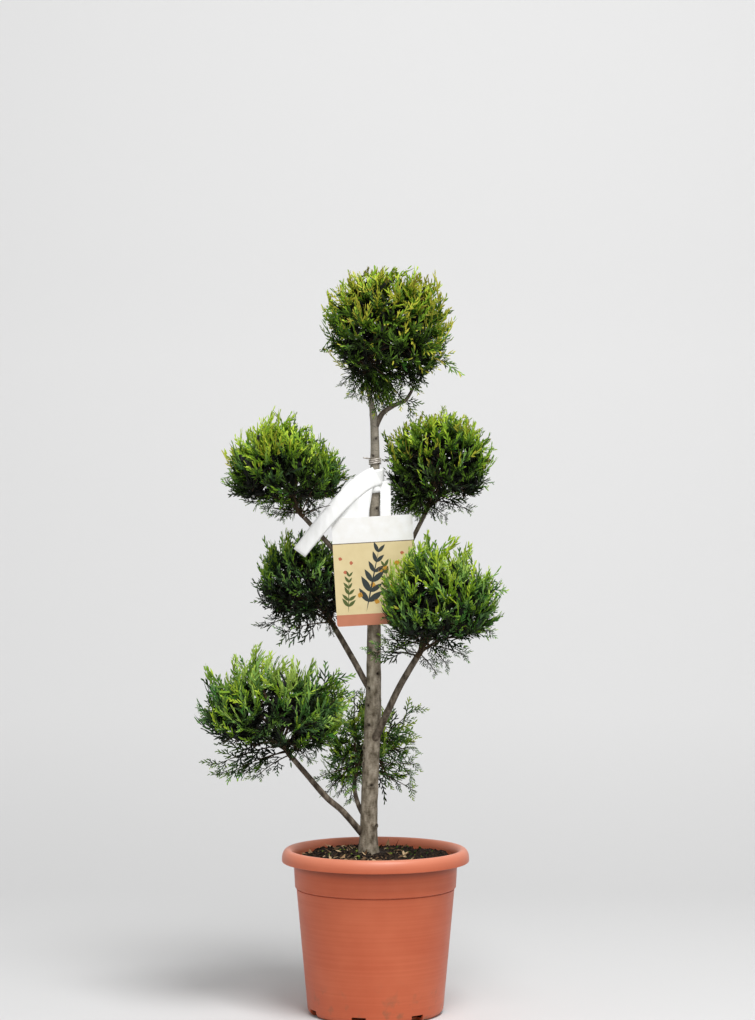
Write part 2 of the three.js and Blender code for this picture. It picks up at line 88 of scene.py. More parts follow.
def grid_faces(rows, columns, closed):
    """Quads of a grid stored row by row. On a closed grid the last column joins the first."""
    row = np.arange(rows - 1)[:, None] * columns
    here = np.arange(columns if closed else columns - 1)
    after = (here + 1) % columns
    corners = [row + here, row + after, row + columns + after, row + columns + here]
    return np.stack(np.broadcast_arrays(*corners), axis=-1).reshape(-1, 4)


def joined(parts):
    """Several meshes as one: the point numbers in each part's faces go on from the part before. Whatever else
    the parts hold, such as a tone for each face, is joined in the same order."""
    points, faces, *others = zip(*parts)
    starts = np.cumsum([0] + [len(part) for part in points])
    faces = [part + start for part, start in zip(faces, starts)]
    return [np.concatenate(column) for column in (points, faces, *others)]


def weld(piece):
    """Merges points that fall together, as at a pole, and turns every face outwards."""
    work = bmesh.new()
    work.from_mesh(piece.data)
    bmesh.ops.remove_doubles(work, verts=work.verts, dist=WELD_DISTANCE)
    bmesh.ops.recalc_face_normals(work, faces=work.faces)
    work.to_mesh(piece.data)
    work.free()
    return piece


def unit(vectors):
    """Each vector divided by its own length."""
    return vectors / np.linalg.norm(vectors, axis=-1, keepdims=True)


def smoothstep(low, high, value):
    """0 below low, 1 above high, and an S-shaped ease between them."""
    share = np.clip((value - low) / (high - low), 0, 1)
    return share * share * (3 - 2 * share)


# %% [markdown]
# The materials are small node graphs. A helper adds a node, and links it or sets its sockets in one call,
# so that a finish reads as a short recipe. Patterns read Object coordinates, which are metres on this plant:
# a noise scale of 200 makes spots about 5 mm wide.

# %% Finish helpers
def srgb(red, green, blue):
    """A screen colour from 0 to 255 as the linear colour that shaders use."""
    screen = np.array([red, green, blue]) / 255
    linear = np.where(screen <= 0.04045, screen / 12.92, ((screen + 0.055) / 1.055) ** 2.4)
    return (*linear.tolist(), 1.0)


def new_finish(name, colour, roughness, specular=0.5):
    """A material whose shader has a plain colour, roughness and specular level."""
    finish = bpy.data.materials.new(name)
    finish.use_nodes = True
    shader = finish.node_tree.nodes["Principled BSDF"]
    shader.inputs["Base Color"].default_value = colour
    shader.inputs["Roughness"].default_value = roughness
    shader.inputs["Specular IOR Level"].default_value = specular
    finish.diffuse_color = colour
    return finish


def add_node(finish, kind, inputs, **settings):
    """A new node. An input that is another node's output is linked, and any other value is set."""
    node = finish.node_tree.nodes.new(kind)
    for key, value in settings.items():
        setattr(node, key, value)
    for key, value in inputs.items():
        if isinstance(value, bpy.types.NodeSocket):
            finish.node_tree.links.new(value, node.inputs[key])
        else:
            node.inputs[key].default_value = value
    return node


def link_shader(finish, socket, output):
    """Links an output to a socket of the finish's shader."""
    shader = finish.node_tree.nodes["Principled BSDF"]
    finish.node_tree.links.new(output, shader.inputs[socket])


def speckle(finish, scale, detail=3.0, stretch=(1, 1, 1)):
    """Noise on Object coordinates. A stretch below 1 draws its spots out along that axis."""
    place = add_node(finish, "ShaderNodeTexCoord", {})
    spread = add_node(finish, "ShaderNodeMapping", {"Vector": place.outputs["Object"], "Scale": stretch})
    noise = add_node(
        finish,
        "ShaderNodeTexNoise",
        {"Vector": spread.outputs["Vector"], "Scale": scale, "Detail": detail},
    )
    return noise.outputs["Fac"]


def ramp(finish, factor, stops, interpolation="LINEAR"):
    """Colours placed along a factor from 0 to 1, as pairs of place and colour."""
    node = add_node(finish, "ShaderNodeValToRGB", {"Fac": factor})
    node.color_ramp.interpolation = interpolation
    for element, (place, colour) in zip(list(node.color_ramp.elements), (stops[0], stops[-1])):
        element.position = place
        element.color = colour
    for place, colour in stops[1:-1]:
        node.color_ramp.elements.new(place).color = colour
    return node.outputs["Color"]


def mix(finish, factor, first, second, blend="MIX"):
    """Two colours mixed by a factor."""
    node = add_node(finish, "ShaderNodeMix", {}, data_type="RGBA", blend_type=blend)
    colour_sockets = [socket for socket in node.inputs if socket.type == "RGBA"]
    sockets = [node.inputs["Factor"], *colour_sockets]
    for socket, value in zip(sockets, (factor, first, second)):
        if isinstance(value, bpy.types.NodeSocket):
            finish.node_tree.links.new(value, socket)
        else:
            socket.default_value = value
    return next(socket for socket in node.outputs if socket.type == "RGBA")


def object_height(finish):
    """The height in metres, which is the Z of Object coordinates."""
    place = add_node(finish, "ShaderNodeTexCoord", {})
    return add_node(finish, "ShaderNodeSeparateXYZ", {"Vector": place.outputs["Object"]}).outputs["Z"]


def span(finish, value, ends, factors, ease="LINEAR"):
    """A factor that runs from the first to the second as the value runs from one end to the other."""
    limits = {"From Min": ends[0], "From Max": ends[1], "To Min": factors[0], "To Max": factors[1]}
    node = add_node(finish, "ShaderNodeMapRange", {"Value": value, **limits}, interpolation_type=ease)
    return node.outputs["Result"]


def maths(finish, operation, first, second):
    """Two numbers made one, by an operation such as MULTIPLY."""
    return add_node(finish, "ShaderNodeMath", {0: first, 1: second}, operation=operation).outputs["Value"]


def relief(finish, height, depth, strength):
    """Small bumps in the shading, from a height map and its depth in metres."""
    bump = add_node(finish, "ShaderNodeBump", {"Height": height, "Distance": depth, "Strength": strength})
    link_shader(finish, "Normal", bump.outputs["Normal"])


# %% [markdown]
# The camera stands 3.3 m away at two thirds of the plant's height and looks level, as the ellipse of the
# pot's rim shows. Its focal length is known in pixels of the upright image, so the lens follows from that and
# the sensor, whose 36 mm lie along the image's long side.

# %% Camera
CAMERA_PLACE = (0.00267, -3.302, 0.670)
FOCAL_PIXELS = 2470
IMAGE_HEIGHT = 1020
SENSOR = 36.0

camera = bpy.data.objects.new("camera", bpy.data.cameras.new("camera"))
camera.location = CAMERA_PLACE
camera.rotation_euler = (np.pi / 2, 0, 0)
camera.data.sensor_width = SENSOR
camera.data.lens = SENSOR * FOCAL_PIXELS / IMAGE_HEIGHT
bpy.context.collection.objects.link(camera)
bpy.context.scene.camera = camera
print("lens", round(camera.data.lens, 2), "mm")

# %% [markdown]
# A studio sweep serves as floor and wall at once: one line, flat and then curved upwards, is carried
# sideways. It has no corner, so no edge shows behind the plant, and its back is clear, so that it hides
# nothing in a view from behind. The light is a bright even sky with two large soft lamps, one above and one
# in front, which keeps the shadows under the leaves soft and dark.

# %% Backdrop and light
SWEEP_FRONT = -6.0
SWEEP_BACK = 2.2
SWEEP_BEND = 1.2
SWEEP_TOP = 5.0
SWEEP_HALF_WIDTH = 6.0
SWEEP_STEPS = 24
FLOOR_DROP = 0.0005
SKY_STRENGTH = 0.4
LAMPS = {
    "lamp_above": {"place": (0.5, -1.3, 3.2), "aim": (0, 0, 0.55), "size": 1.3, "power": 94},
    "lamp_front": {"place": (0.5, -4.0, 3.2), "aim": (0, 0, 0.55), "size": 2.6, "power": 42},
}


def sweep_surface():
    """A floor line, a quarter circle and a wall line, carried across from left to right."""
    turn = np.linspace(0, np.pi / 2, SWEEP_STEPS)
    curve_y = SWEEP_BACK - SWEEP_BEND + SWEEP_BEND * np.sin(turn)
    curve_z = SWEEP_BEND * (1 - np.cos(turn))
    depth = np.concatenate([[SWEEP_FRONT], curve_y, [SWEEP_BACK]])
    height = np.concatenate([[0], curve_z, [SWEEP_TOP]]) - FLOOR_DROP
    across = np.array([-SWEEP_HALF_WIDTH, SWEEP_HALF_WIDTH])
    points = np.stack(np.broadcast_arrays(across, depth[:, None], height[:, None]), axis=-1)
    return points.reshape(-1, 3), grid_faces(len(depth), 2, closed=False)


def aim_at(lamp, target):
    """Turns a lamp so that it shines towards a point."""
    away = np.array(target) - np.array(lamp.location)
    flat = np.hypot(away[0], away[1])
    lamp.rotation_euler = (np.arctan2(flat, -away[2]), 0, np.arctan2(away[1], away[0]) - np.pi / 2)


def studio_paper():
    """Matt paper whose grey pales from the floor up the wall, painted shade. What faces away is clear."""
    finish = new_finish("studio_paper", srgb(229, 229, 229), roughness=0.9, specular=0.1)
    # Darker grey towards the floor: painted shade.
    shade_to_pale = [(0.0, srgb(213, 213, 213)), (0.25, srgb(224, 224, 224)), (1.0, srgb(233, 233, 233))]
    link_shader(finish, "Base Color", ramp(finish, object_height(finish), shade_to_pale))
    paper = finish.node_tree.nodes["Principled BSDF"].outputs["BSDF"]
    clear = add_node(finish, "ShaderNodeBsdfTransparent", {}).outputs["BSDF"]
    back = add_node(finish, "ShaderNodeNewGeometry", {}).outputs["Backfacing"]
    either = add_node(finish, "ShaderNodeMixShader", {"Fac": back, 1: paper, 2: clear}).outputs["Shader"]
    finish.node_tree.links.new(either, finish.node_tree.nodes["Material Output"].inputs["Surface"])
    return finish


add_piece("studio_sweep", *sweep_surface(), [studio_paper()])

world = bpy.data.worlds.new("studio")
world.use_nodes = True
world.node_tree.nodes["Background"].inputs["Color"].default_value = (1, 1, 1, 1)
world.node_tree.nodes["Background"].inputs["Strength"].default_value = SKY_STRENGTH
bpy.context.scene.world = world
for name, lamp in LAMPS.items():
    light = bpy.data.lights.new(name, "AREA")
    light.size = lamp["size"]
    light.energy = lamp["power"]
    lamp_object = bpy.data.objects.new(name, light)
    lamp_object.location = lamp["place"]
    aim_at(lamp_object, lamp["aim"])
    bpy.context.collection.objects.link(lamp_object)
bpy.context.scene.view_settings.view_transform = "Standard"
print("lamps:", ", ".join(LAMPS))

# %% [markdown]
# The pot is injection moulded: a tapered body, a wider collar with a fine groove under it, and a rolled lip.
# Any turned thing is a profile carried round an axis, so the section is drawn once as radius and height, with
# the round stretches as arcs. The seven drain slots round the foot are cut with a Boolean, because they don't
# follow the turning. The lip's top is painted paler as a painted highlight, with a painted shadow under it.

# %% Pot section
POT_TURNS = 180
POT_HEIGHT = 218 * MM
LIP_RADIUS = 125 * MM
LIP_FOOT = 201 * MM
LIP_HALF_WIDTH = 8 * MM
LIP_ROLL_HEIGHT = 12 * MM
COLLAR_TOP_RADIUS = 109.4 * MM
COLLAR_FOOT_RADIUS = 107.6 * MM
COLLAR_FOOT = 168 * MM
COLLAR_STEP = 3 * MM
GROOVE_DEPTH = 1.2 * MM
GROOVE_HEIGHT = 1.4 * MM
BODY_TOP_RADIUS = 105.6 * MM
BODY_FOOT_RADIUS = 91 * MM
BASE_RADIUS = 84 * MM
BASE_CORNER = 8 * MM
BASE_RING = 3 * MM
BASE_RECESS = 1 * MM
WALL = 2.4 * MM
FLOOR = 4 * MM
ARC_STEPS = 14
WALL_STEPS = 24


def arc(centre, spread, first, last, steps=ARC_STEPS):
    """Part of an ellipse from one angle to another, as radius and height."""
    turn = np.linspace(first, last, steps)
    return np.stack([centre[0] + spread[0] * np.cos(turn), centre[1] + spread[1] * np.sin(turn)], axis=1)


def lip_roll(margin, first, last):
    """The lip's rolled top: half an ellipse, drawn in by a margin."""
    centre = (LIP_RADIUS - LIP_HALF_WIDTH, POT_HEIGHT - LIP_ROLL_HEIGHT)
    return arc(centre, (LIP_HALF_WIDTH - margin, LIP_ROLL_HEIGHT - margin), first, last, 2 * ARC_STEPS)


def pot_section():
    """The wall's outline from the middle of the underside, up the outside and back down the inside."""
    body_top = COLLAR_FOOT - COLLAR_STEP
    groove_radius = BODY_TOP_RADIUS - GROOVE_DEPTH
    groove_top = body_top + GROOVE_HEIGHT
    corner = (BODY_FOOT_RADIUS - BASE_RADIUS, BASE_CORNER)
    nose = (COLLAR_FOOT_RADIUS - BODY_TOP_RADIUS, COLLAR_FOOT - groove_top)
    lip_edge = (LIP_RADIUS - WALL / 2, LIP_FOOT + WALL / 2)
    underside = [
        [0, BASE_RECESS],
        [BASE_RADIUS - 2 * BASE_RING, BASE_RECESS],
        [BASE_RADIUS - BASE_RING, 0],
    ]
    inside = [
        [COLLAR_TOP_RADIUS - WALL, LIP_FOOT],
        [COLLAR_FOOT_RADIUS - WALL, COLLAR_FOOT],
        [BODY_TOP_RADIUS - WALL, body_top],
        [BODY_FOOT_RADIUS - WALL, BASE_CORNER],
        [BODY_FOOT_RADIUS - 2 * WALL, FLOOR],
        [0, FLOOR],
    ]
    return np.concatenate(
        [
            underside,
            arc((BASE_RADIUS, BASE_CORNER), corner, -np.pi / 2, 0),
            np.linspace([BODY_FOOT_RADIUS, BASE_CORNER], [BODY_TOP_RADIUS, body_top], WALL_STEPS)[1:],
            [[groove_radius, body_top], [groove_radius, groove_top]],
            arc((BODY_TOP_RADIUS, COLLAR_FOOT), nose, -np.pi / 2, 0),
            np.linspace([COLLAR_FOOT_RADIUS, COLLAR_FOOT], [COLLAR_TOP_RADIUS, LIP_FOOT], WALL_STEPS)[1:],
            lip_roll(WALL, np.pi, 0),
            [[LIP_RADIUS - WALL, LIP_FOOT + WALL / 2]],
            arc(lip_edge, (WALL / 2, WALL / 2), -np.pi, 0),
            lip_roll(0, 0, np.pi),
            inside,
        ]
    )


def turned(section, turns):
    """A section of radius and height carried once round the Z axis."""
    angle = np.arange(turns) * 2 * np.pi / turns
    radius, height = section[:, :1], section[:, 1:]
    points = np.stack(np.broadcast_arrays(radius * np.cos(angle), radius * np.sin(angle), height), axis=-1)
    return points.reshape(-1, 3), grid_faces(len(section), turns, closed=True)


section = pot_section()
print("pot section:", len(section), "points")

# %% Pot finish
CLAY_DEEP = srgb(192, 88, 50)
CLAY_LIGHT = srgb(203, 101, 63)
# A pale clay painted on the lip's top: a painted highlight.
CLAY_LIP_HIGHLIGHT = srgb(226, 152, 124)
DRY_SOIL_DUST = srgb(120, 92, 66)
# A dark clay painted in a band under the lip: a painted shadow.
CLAY_PAINTED_SHADE = srgb(58, 20, 8)
LIP_SHADE_REACH = 13 * MM
DUST_REACH = 60 * MM


def pot_plastic():
    """Satin terracotta plastic: cloudy tone, fine moulding lines round it, a painted highlight on the lip
    with a painted shadow under it, and soil dust near the foot."""
    finish = new_finish("pot_plastic", CLAY_DEEP, roughness=0.42, specular=0.45)
    height = object_height(finish)
    clouds = ramp(finish, speckle(finish, 14, 4), [(0.3, CLAY_DEEP), (0.7, CLAY_LIGHT)])
    lines = speckle(finish, 5, 2, stretch=(1, 1, 90))
    line_tones = ramp(finish, lines, [(0.35, srgb(150, 70, 44)), (0.7, srgb(236, 150, 116))])
    lined = mix(finish, 0.06, clouds, line_tones)
    # The lip's top is mixed towards pale clay: a painted highlight.
    lip_highlighted = mix(finish, span(finish, height, (LIP_FOOT, POT_HEIGHT), (0, 0.6)), lined, CLAY_LIP_HIGHLIGHT)
    # A band under the lip is mixed towards dark clay: a painted shadow.
    under_lip = span(finish, height, (LIP_FOOT - LIP_SHADE_REACH, LIP_FOOT), (0, 0.6), "SMOOTHSTEP")
    lip_shade = maths(finish, "MULTIPLY", under_lip, maths(finish, "LESS_THAN", height, LIP_FOOT))
    lip_shaded = mix(finish, lip_shade, lip_highlighted, CLAY_PAINTED_SHADE)
    spots = ramp(finish, speckle(finish, 60, 5), [(0.56, (0, 0, 0, 1)), (0.74, (0.8, 0.8, 0.8, 1))])
    dust = maths(finish, "MULTIPLY", span(finish, height, (DUST_REACH, 0), (0, 1)), spots)
    link_shader(finish, "Base Color", mix(finish, dust, lip_shaded, DRY_SOIL_DUST))
    link_shader(finish, "Roughness", span(finish, speckle(finish, 40, 4), (0, 1), (0.34, 0.52)))
    relief(finish, lines, 0.0004, 0.15)
    return finish


# %% Pot
DRAIN_SLOTS = 7
DRAIN_SLOT_WIDTH = 19 * MM
DRAIN_SLOT_HEIGHT = 9 * MM
DRAIN_SLOT_DEPTH = 13 * MM
DRAIN_SLOT_TURN = np.radians(-104)
SHARP_EDGE = np.radians(40)
BOX_FACES = np.array([[0, 1, 3, 2], [4, 6, 7, 5], [0, 4, 5, 1], [2, 3, 7, 6], [0, 2, 6, 4], [1, 5, 7, 3]])


def drain_slot_boxes():
    """Seven boxes, one for each slot: the corners of one box, turned by equal steps."""
    signs = np.stack(np.meshgrid([-1, 1], [-1, 1], [-1, 1], indexing="ij"), axis=-1).reshape(-1, 3)
    box = signs * [DRAIN_SLOT_DEPTH, DRAIN_SLOT_WIDTH / 2, DRAIN_SLOT_HEIGHT] + [BODY_FOOT_RADIUS, 0, 0]
    turn = DRAIN_SLOT_TURN + np.arange(DRAIN_SLOTS)[:, None] * 2 * np.pi / DRAIN_SLOTS
    x = box[:, 0] * np.cos(turn) - box[:, 1] * np.sin(turn)
    y = box[:, 0] * np.sin(turn) + box[:, 1] * np.cos(turn)
    points = np.stack(np.broadcast_arrays(x, y, box[:, 2]), axis=-1).reshape(-1, 3)
    faces = BOX_FACES + np.arange(DRAIN_SLOTS)[:, None, None] * len(box)
    return points, faces.reshape(-1, 4)


def cut(piece, cutter):
    """Takes the cutter's shape out of the piece and removes the cutter."""
    boolean = piece.modifiers.new("cut", "BOOLEAN")
    boolean.operation = "DIFFERENCE"
    boolean.solver = "EXACT"
    boolean.object = cutter
    graph = bpy.context.evaluated_depsgraph_get()
    carved = bpy.data.meshes.new_from_object(piece.evaluated_get(graph))
    piece.modifiers.clear()
    piece.data = carved
    bpy.data.objects.remove(cutter)


plastic = pot_plastic()
pot = weld(add_piece("pot_shell", *turned(section, POT_TURNS), [plastic]))
slot_cutter = weld(add_piece("slot_cutter", *drain_slot_boxes(), [plastic]))
cut(pot, slot_cutter)
pot.data.set_sharp_from_angle(angle=SHARP_EDGE)
dress(pot, "pot_plastic", "pot")

# %% [markdown]
# The compost is a rough mound inside the pot. Random heights on a coarse and a fine lattice, blended
# smoothly, give its lumps. Bark chips, crumbs and bits of moss lie on it. They are many and small, so one
# jittered pebble of a few faces is copied with arrays, and each copy keeps a plain colour.

# %% Compost ground
SOIL_EDGE = 203 * MM
SOIL_MOUND = 213 * MM
SOIL_SEAT_RADIUS = 24 * MM
SOIL_FLAT_RADIUS = 9.6 * MM
SOIL_RADIUS = COLLAR_TOP_RADIUS - WALL - 0.2 * MM
SOIL_SLOPE = 1.5
SOIL_TURNS = 220
SOIL_RINGS = 70
SOIL_LUMPS = 5.6 * MM
SOIL_LUMP_CELLS = 14
SOIL_GRAIN = 1.5 * MM
SOIL_GRAIN_CELLS = 71
SOIL_SEED = 31
SOIL_FOOT_SHARE = 0.97


def lattice_noise(across, along, cells_across, cells_along, seed, closed=False):
    """Smooth random heights from -1 to 1: values on a lattice, blended by an S curve in each direction.
    across and along run from 0 to 1, and a closed lattice joins its last column to its first."""
    lattice = np.random.default_rng(seed).uniform(-1, 1, (cells_along + 2, cells_across + 2))
    if closed:
        lattice[:, cells_across:] = lattice[:, :2]
    column = np.clip(across, 0, 1) * cells_across
    row = np.clip(along, 0, 1) * cells_along
    left = np.floor(column).astype(int)
    low = np.floor(row).astype(int)
    right_share = smoothstep(0, 1, column - left)
    high_share = smoothstep(0, 1, row - low)
    lower = lattice[low, left] * (1 - right_share) + lattice[low, left + 1] * right_share
    upper = lattice[low + 1, left] * (1 - right_share) + lattice[low + 1, left + 1] * right_share
    return lower * (1 - high_share) + upper * high_share


def soil_height(x, y):
    """The mound falls from the middle to the wall by a power of the distance, with lumps and grain added."""
    share = np.clip(np.hypot(x, y) / SOIL_RADIUS, 0, 1)
    mound = SOIL_MOUND + (SOIL_EDGE - SOIL_MOUND) * share**SOIL_SLOPE
    across, along = x / SOIL_RADIUS / 2 + 0.5, y / SOIL_RADIUS / 2 + 0.5
    lumps = SOIL_LUMPS * lattice_noise(across, along, SOIL_LUMP_CELLS, SOIL_LUMP_CELLS, SOIL_SEED)
    grain = SOIL_GRAIN * lattice_noise(across, along, SOIL_GRAIN_CELLS, SOIL_GRAIN_CELLS, SOIL_SEED + 1)
    clear_of_trunk = smoothstep(SOIL_FLAT_RADIUS, SOIL_SEAT_RADIUS, np.hypot(x, y))
    return mound + clear_of_trunk * (lumps + grain)


def soil_surface():
    """A disc of rings and spokes at the soil's height, with its side carried down inside the pot."""
    angle = np.arange(SOIL_TURNS) * 2 * np.pi / SOIL_TURNS
    radius = np.linspace(0, SOIL_RADIUS, SOIL_RINGS)[:, None]
    x, y = radius * np.cos(angle), radius * np.sin(angle)
    top = np.stack([x, y, soil_height(x, y)], axis=-1)
    side = top[-1:] * [1, 1, 0] * SOIL_FOOT_SHARE + [0, 0, COLLAR_FOOT]
    middle = side * [0, 0, 1]
    points = np.concatenate([top, side, middle])
    return points.reshape(-1, 3), grid_faces(len(points), SOIL_TURNS, closed=True)


def compost_ground():
    """Dark damp peat with paler fibres."""
    finish = new_finish("compost_ground", srgb(34, 26, 20), roughness=0.95, specular=0.2)
    grains = speckle(finish, 420, 5)
    tones = [(0.32, srgb(14, 11, 9)), (0.55, srgb(38, 29, 22)), (0.75, srgb(84, 66, 48))]
    link_shader(finish, "Base Color", ramp(finish, grains, tones))
    relief(finish, grains, 0.0012, 0.8)
    return finish


soil = weld(add_piece("compost", *soil_surface(), [compost_ground()]))
dress(soil, "compost", "soil")

# %% Chips, crumbs and moss
PEBBLE_FACES = np.array(
    [[0, 2, 4], [2, 1, 4], [1, 3, 4], [3, 0, 4], [2, 0, 5], [1, 2, 5], [3, 1, 5], [0, 3, 5]]
)
PEBBLE_CORNERS = np.array([[1, 0, 0], [-1, 0, 0], [0, 1, 0], [0, -1, 0], [0, 0, 1], [0, 0, -1]], float)
LITTER = {
    "chips": {
        "count": 300, "longest": 15.0, "flat": 0.2, "slim": 0.42, "tilt": 0.55, "swing": 2.5, "seed": 41,
        "tones": [(34, 26, 19), (58, 44, 31), (104, 80, 56), (150, 120, 88), (190, 164, 128)],
    },
    "crumbs": {
        "count": 900, "longest": 4.6, "flat": 0.7, "slim": 0.8, "tilt": 0.35, "swing": 3.15, "seed": 42,
        "tones": [(14, 11, 9), (30, 23, 17), (58, 44, 33)],
    },
    "moss": {
        "count": 120, "longest": 8.0, "flat": 0.45, "slim": 0.6, "tilt": 0.5, "swing": 3.15, "seed": 43,
        "tones": [(40, 58, 18), (66, 92, 28), (104, 118, 44)],
    },
}
LITTER_TOWARDS = np.radians(200)
LITTER_EDGE = 0.97
LITTER_GATHER = 1.6
LITTER_SIZES = (0.35, 1)
LITTER_JITTER = (0.7, 1.3)
LITTER_RISE = 0.35
TRUNK_CLEAR = 14 * MM


def scattered(plan):
    """Jittered eight-faced pebbles, squashed, turned and set on the soil at seeded places."""
    dice = np.random.default_rng(plan["seed"])
    count = plan["count"]
    spread = dice.uniform(TRUNK_CLEAR / SOIL_RADIUS, 1, count) ** LITTER_GATHER
    distance = SOIL_RADIUS * LITTER_EDGE * np.sqrt(spread)
    angle = LITTER_TOWARDS + plan["swing"] * dice.uniform(-1, 1, count)
    x, y = distance * np.cos(angle), distance * np.sin(angle)
    half = plan["longest"] / 2 * MM * dice.uniform(*LITTER_SIZES, (count, 1, 1))
    squash = np.array([1, plan["slim"], plan["flat"]])
    shape = PEBBLE_CORNERS * half * squash * dice.uniform(*LITTER_JITTER, (count, len(PEBBLE_CORNERS), 1))
    turn = dice.uniform(0, 2 * np.pi, (count, 1))
    tilt = dice.normal(0, plan["tilt"], (count, 1))
    wide = shape[..., 0] * np.cos(turn) - shape[..., 1] * np.sin(turn)
    deep = shape[..., 0] * np.sin(turn) + shape[..., 1] * np.cos(turn)
    tall = shape[..., 2] + tilt * shape[..., 0]
    rest = soil_height(x, y)[:, None] + LITTER_RISE * half[:, 0] * plan["flat"]
    points = np.stack([x[:, None] + wide, y[:, None] + deep, rest + tall], axis=-1)
    faces = PEBBLE_FACES + np.arange(count)[:, None, None] * len(PEBBLE_CORNERS)
    tone = np.repeat(dice.integers(0, len(plan["tones"]), count), len(PEBBLE_FACES))
    return points.reshape(-1, 3), faces.reshape(-1, 3), tone


for kind, plan in LITTER.items():
    points, faces, tone = scattered(plan)
    colours = [srgb(*colour) for colour in plan["tones"]]
    finishes = [new_finish(f"{kind}_{i}", colour, 0.9, specular=0.2) for i, colour in enumerate(colours)]
    litter = add_piece(f"compost_{kind}", points, faces, finishes, tone, smooth=False)
    dress(litter, "compost")

# %% [markdown]
# A limb is a ring carried along a smooth path, thinner as it goes. The path runs through a few chosen points
# on a centripetal Catmull-Rom curve, which doesn't overshoot at a bend. The bark's plates, furrows and scars
# are added to the ring's radius, so they are real relief and not only shading. Each bough starts on the
# trunk's axis, so its swollen collar comes straight out of the bark.

# %% Paths and tubes
PATH_DETAIL = 40
FRAME_AXES = np.eye(3)


def smooth_path(points, count):
    """Evenly spaced places on a centripetal Catmull-Rom curve: each stretch is a cubic whose end slopes come
    from the neighbouring points, weighted by the square roots of the distances between them."""
    points = np.asarray(points, float)
    padded = np.concatenate([[2 * points[0] - points[1]], points, [2 * points[-1] - points[-2]]])
    gap = np.sqrt(np.linalg.norm(np.diff(padded, axis=0), axis=1))[:, None]
    before, here, ahead = gap[:-2], gap[1:-1], gap[2:]
    p0, p1, p2, p3 = padded[:-3], padded[1:-2], padded[2:-1], padded[3:]
    slope1 = here * ((p1 - p0) / before - (p2 - p0) / (before + here) + (p2 - p1) / here)
    slope2 = here * ((p2 - p1) / here - (p3 - p1) / (here + ahead) + (p3 - p2) / ahead)
    t = np.linspace(0, 1, PATH_DETAIL, endpoint=False)[:, None, None]
    cubic = (2 * p1 - 2 * p2 + slope1 + slope2) * t**3 + (3 * p2 - 3 * p1 - 2 * slope1 - slope2) * t**2
    dense = (cubic + slope1 * t + p1).transpose(1, 0, 2).reshape(-1, 3)
    dense = np.concatenate([dense, points[-1:]])
    length = np.concatenate([[0], np.cumsum(np.linalg.norm(np.diff(dense, axis=0), axis=1))])
    even = np.linspace(0, length[-1], count)
    return np.stack([np.interp(even, length, dense[:, axis]) for axis in range(3)], axis=1)


def tube_faces(steps, sides):
    """Triangles of one closed tube: walls between neighbouring rings, and a fan over each end."""
    ring = np.arange(sides)
    after = (ring + 1) % sides
    first = np.arange(steps - 1)[:, None] * sides
    here, beside = first + ring, first + after
    walls = [np.stack([here, beside, beside + sides], -1), np.stack([here, beside + sides, here + sides], -1)]
    last = (steps - 1) * sides
    foot = np.stack([np.full(sides, steps * sides), after, ring], -1)
    tip = np.stack([np.full(sides, steps * sides + 1), last + ring, last + after], -1)
    return np.concatenate([*(wall.reshape(-1, 3) for wall in walls), foot, tip])


def tubes(paths, radii, sides):
    """Closed tubes along many paths at once. paths is (tubes, steps, 3) and radii (tubes, steps, 1 or sides).
    Each ring lies in the plane that a fixed axis and the path's own heading give."""
    count, steps, _ = paths.shape
    heading = unit(np.gradient(paths, axis=1))
    chord = np.abs(paths[:, -1] - paths[:, 0])
    reference = FRAME_AXES[np.argmin(chord, axis=1)][:, None]
    aside = unit(np.cross(reference, heading))
    upward = np.cross(heading, aside)
    angle = np.arange(sides) * 2 * np.pi / sides
    around = np.cos(angle)[:, None] * aside[:, :, None] + np.sin(angle)[:, None] * upward[:, :, None]
    rings = paths[:, :, None] + np.broadcast_to(radii, (count, steps, sides))[..., None] * around
    ends = np.stack([paths[:, 0], paths[:, -1]], axis=1)
    points = np.concatenate([rings.reshape(count, -1, 3), ends], axis=1)
    faces = tube_faces(steps, sides) + np.arange(count)[:, None, None] * points.shape[1]
    return points.reshape(-1, 3), faces.reshape(-1, 3)


# %% Limb sizes
GAP = 0.3 * MM
TRUNK_FOOT_RADIUS = 11.7 * MM
TRUNK_FORK_RADIUS = 5.3 * MM
TRUNK_TIP_RADIUS = 2.6 * MM
TRUNK_TAPER = 1.35
TRUNK_FORK_SHARE = 0.915
ROOT_FLARE = 2.8 * MM
ROOT_FLARE_HEIGHT = 14 * MM
TRUNK_FOOT = SOIL_MOUND + GAP
TRUNK_PATH = MM * np.array(
    [
        [-9.6, 0, TRUNK_FOOT / MM], [-8.8, 0, 262], [-2.9, 1, 421], [-2, 0, 575],
        [-1.3, 0, 778], [-3.5, 0, 802], [-14, 3, 852],
    ]
)
BOUGH_COLLAR = 1.6 * MM
BOUGH_COLLAR_SHARE = 0.22
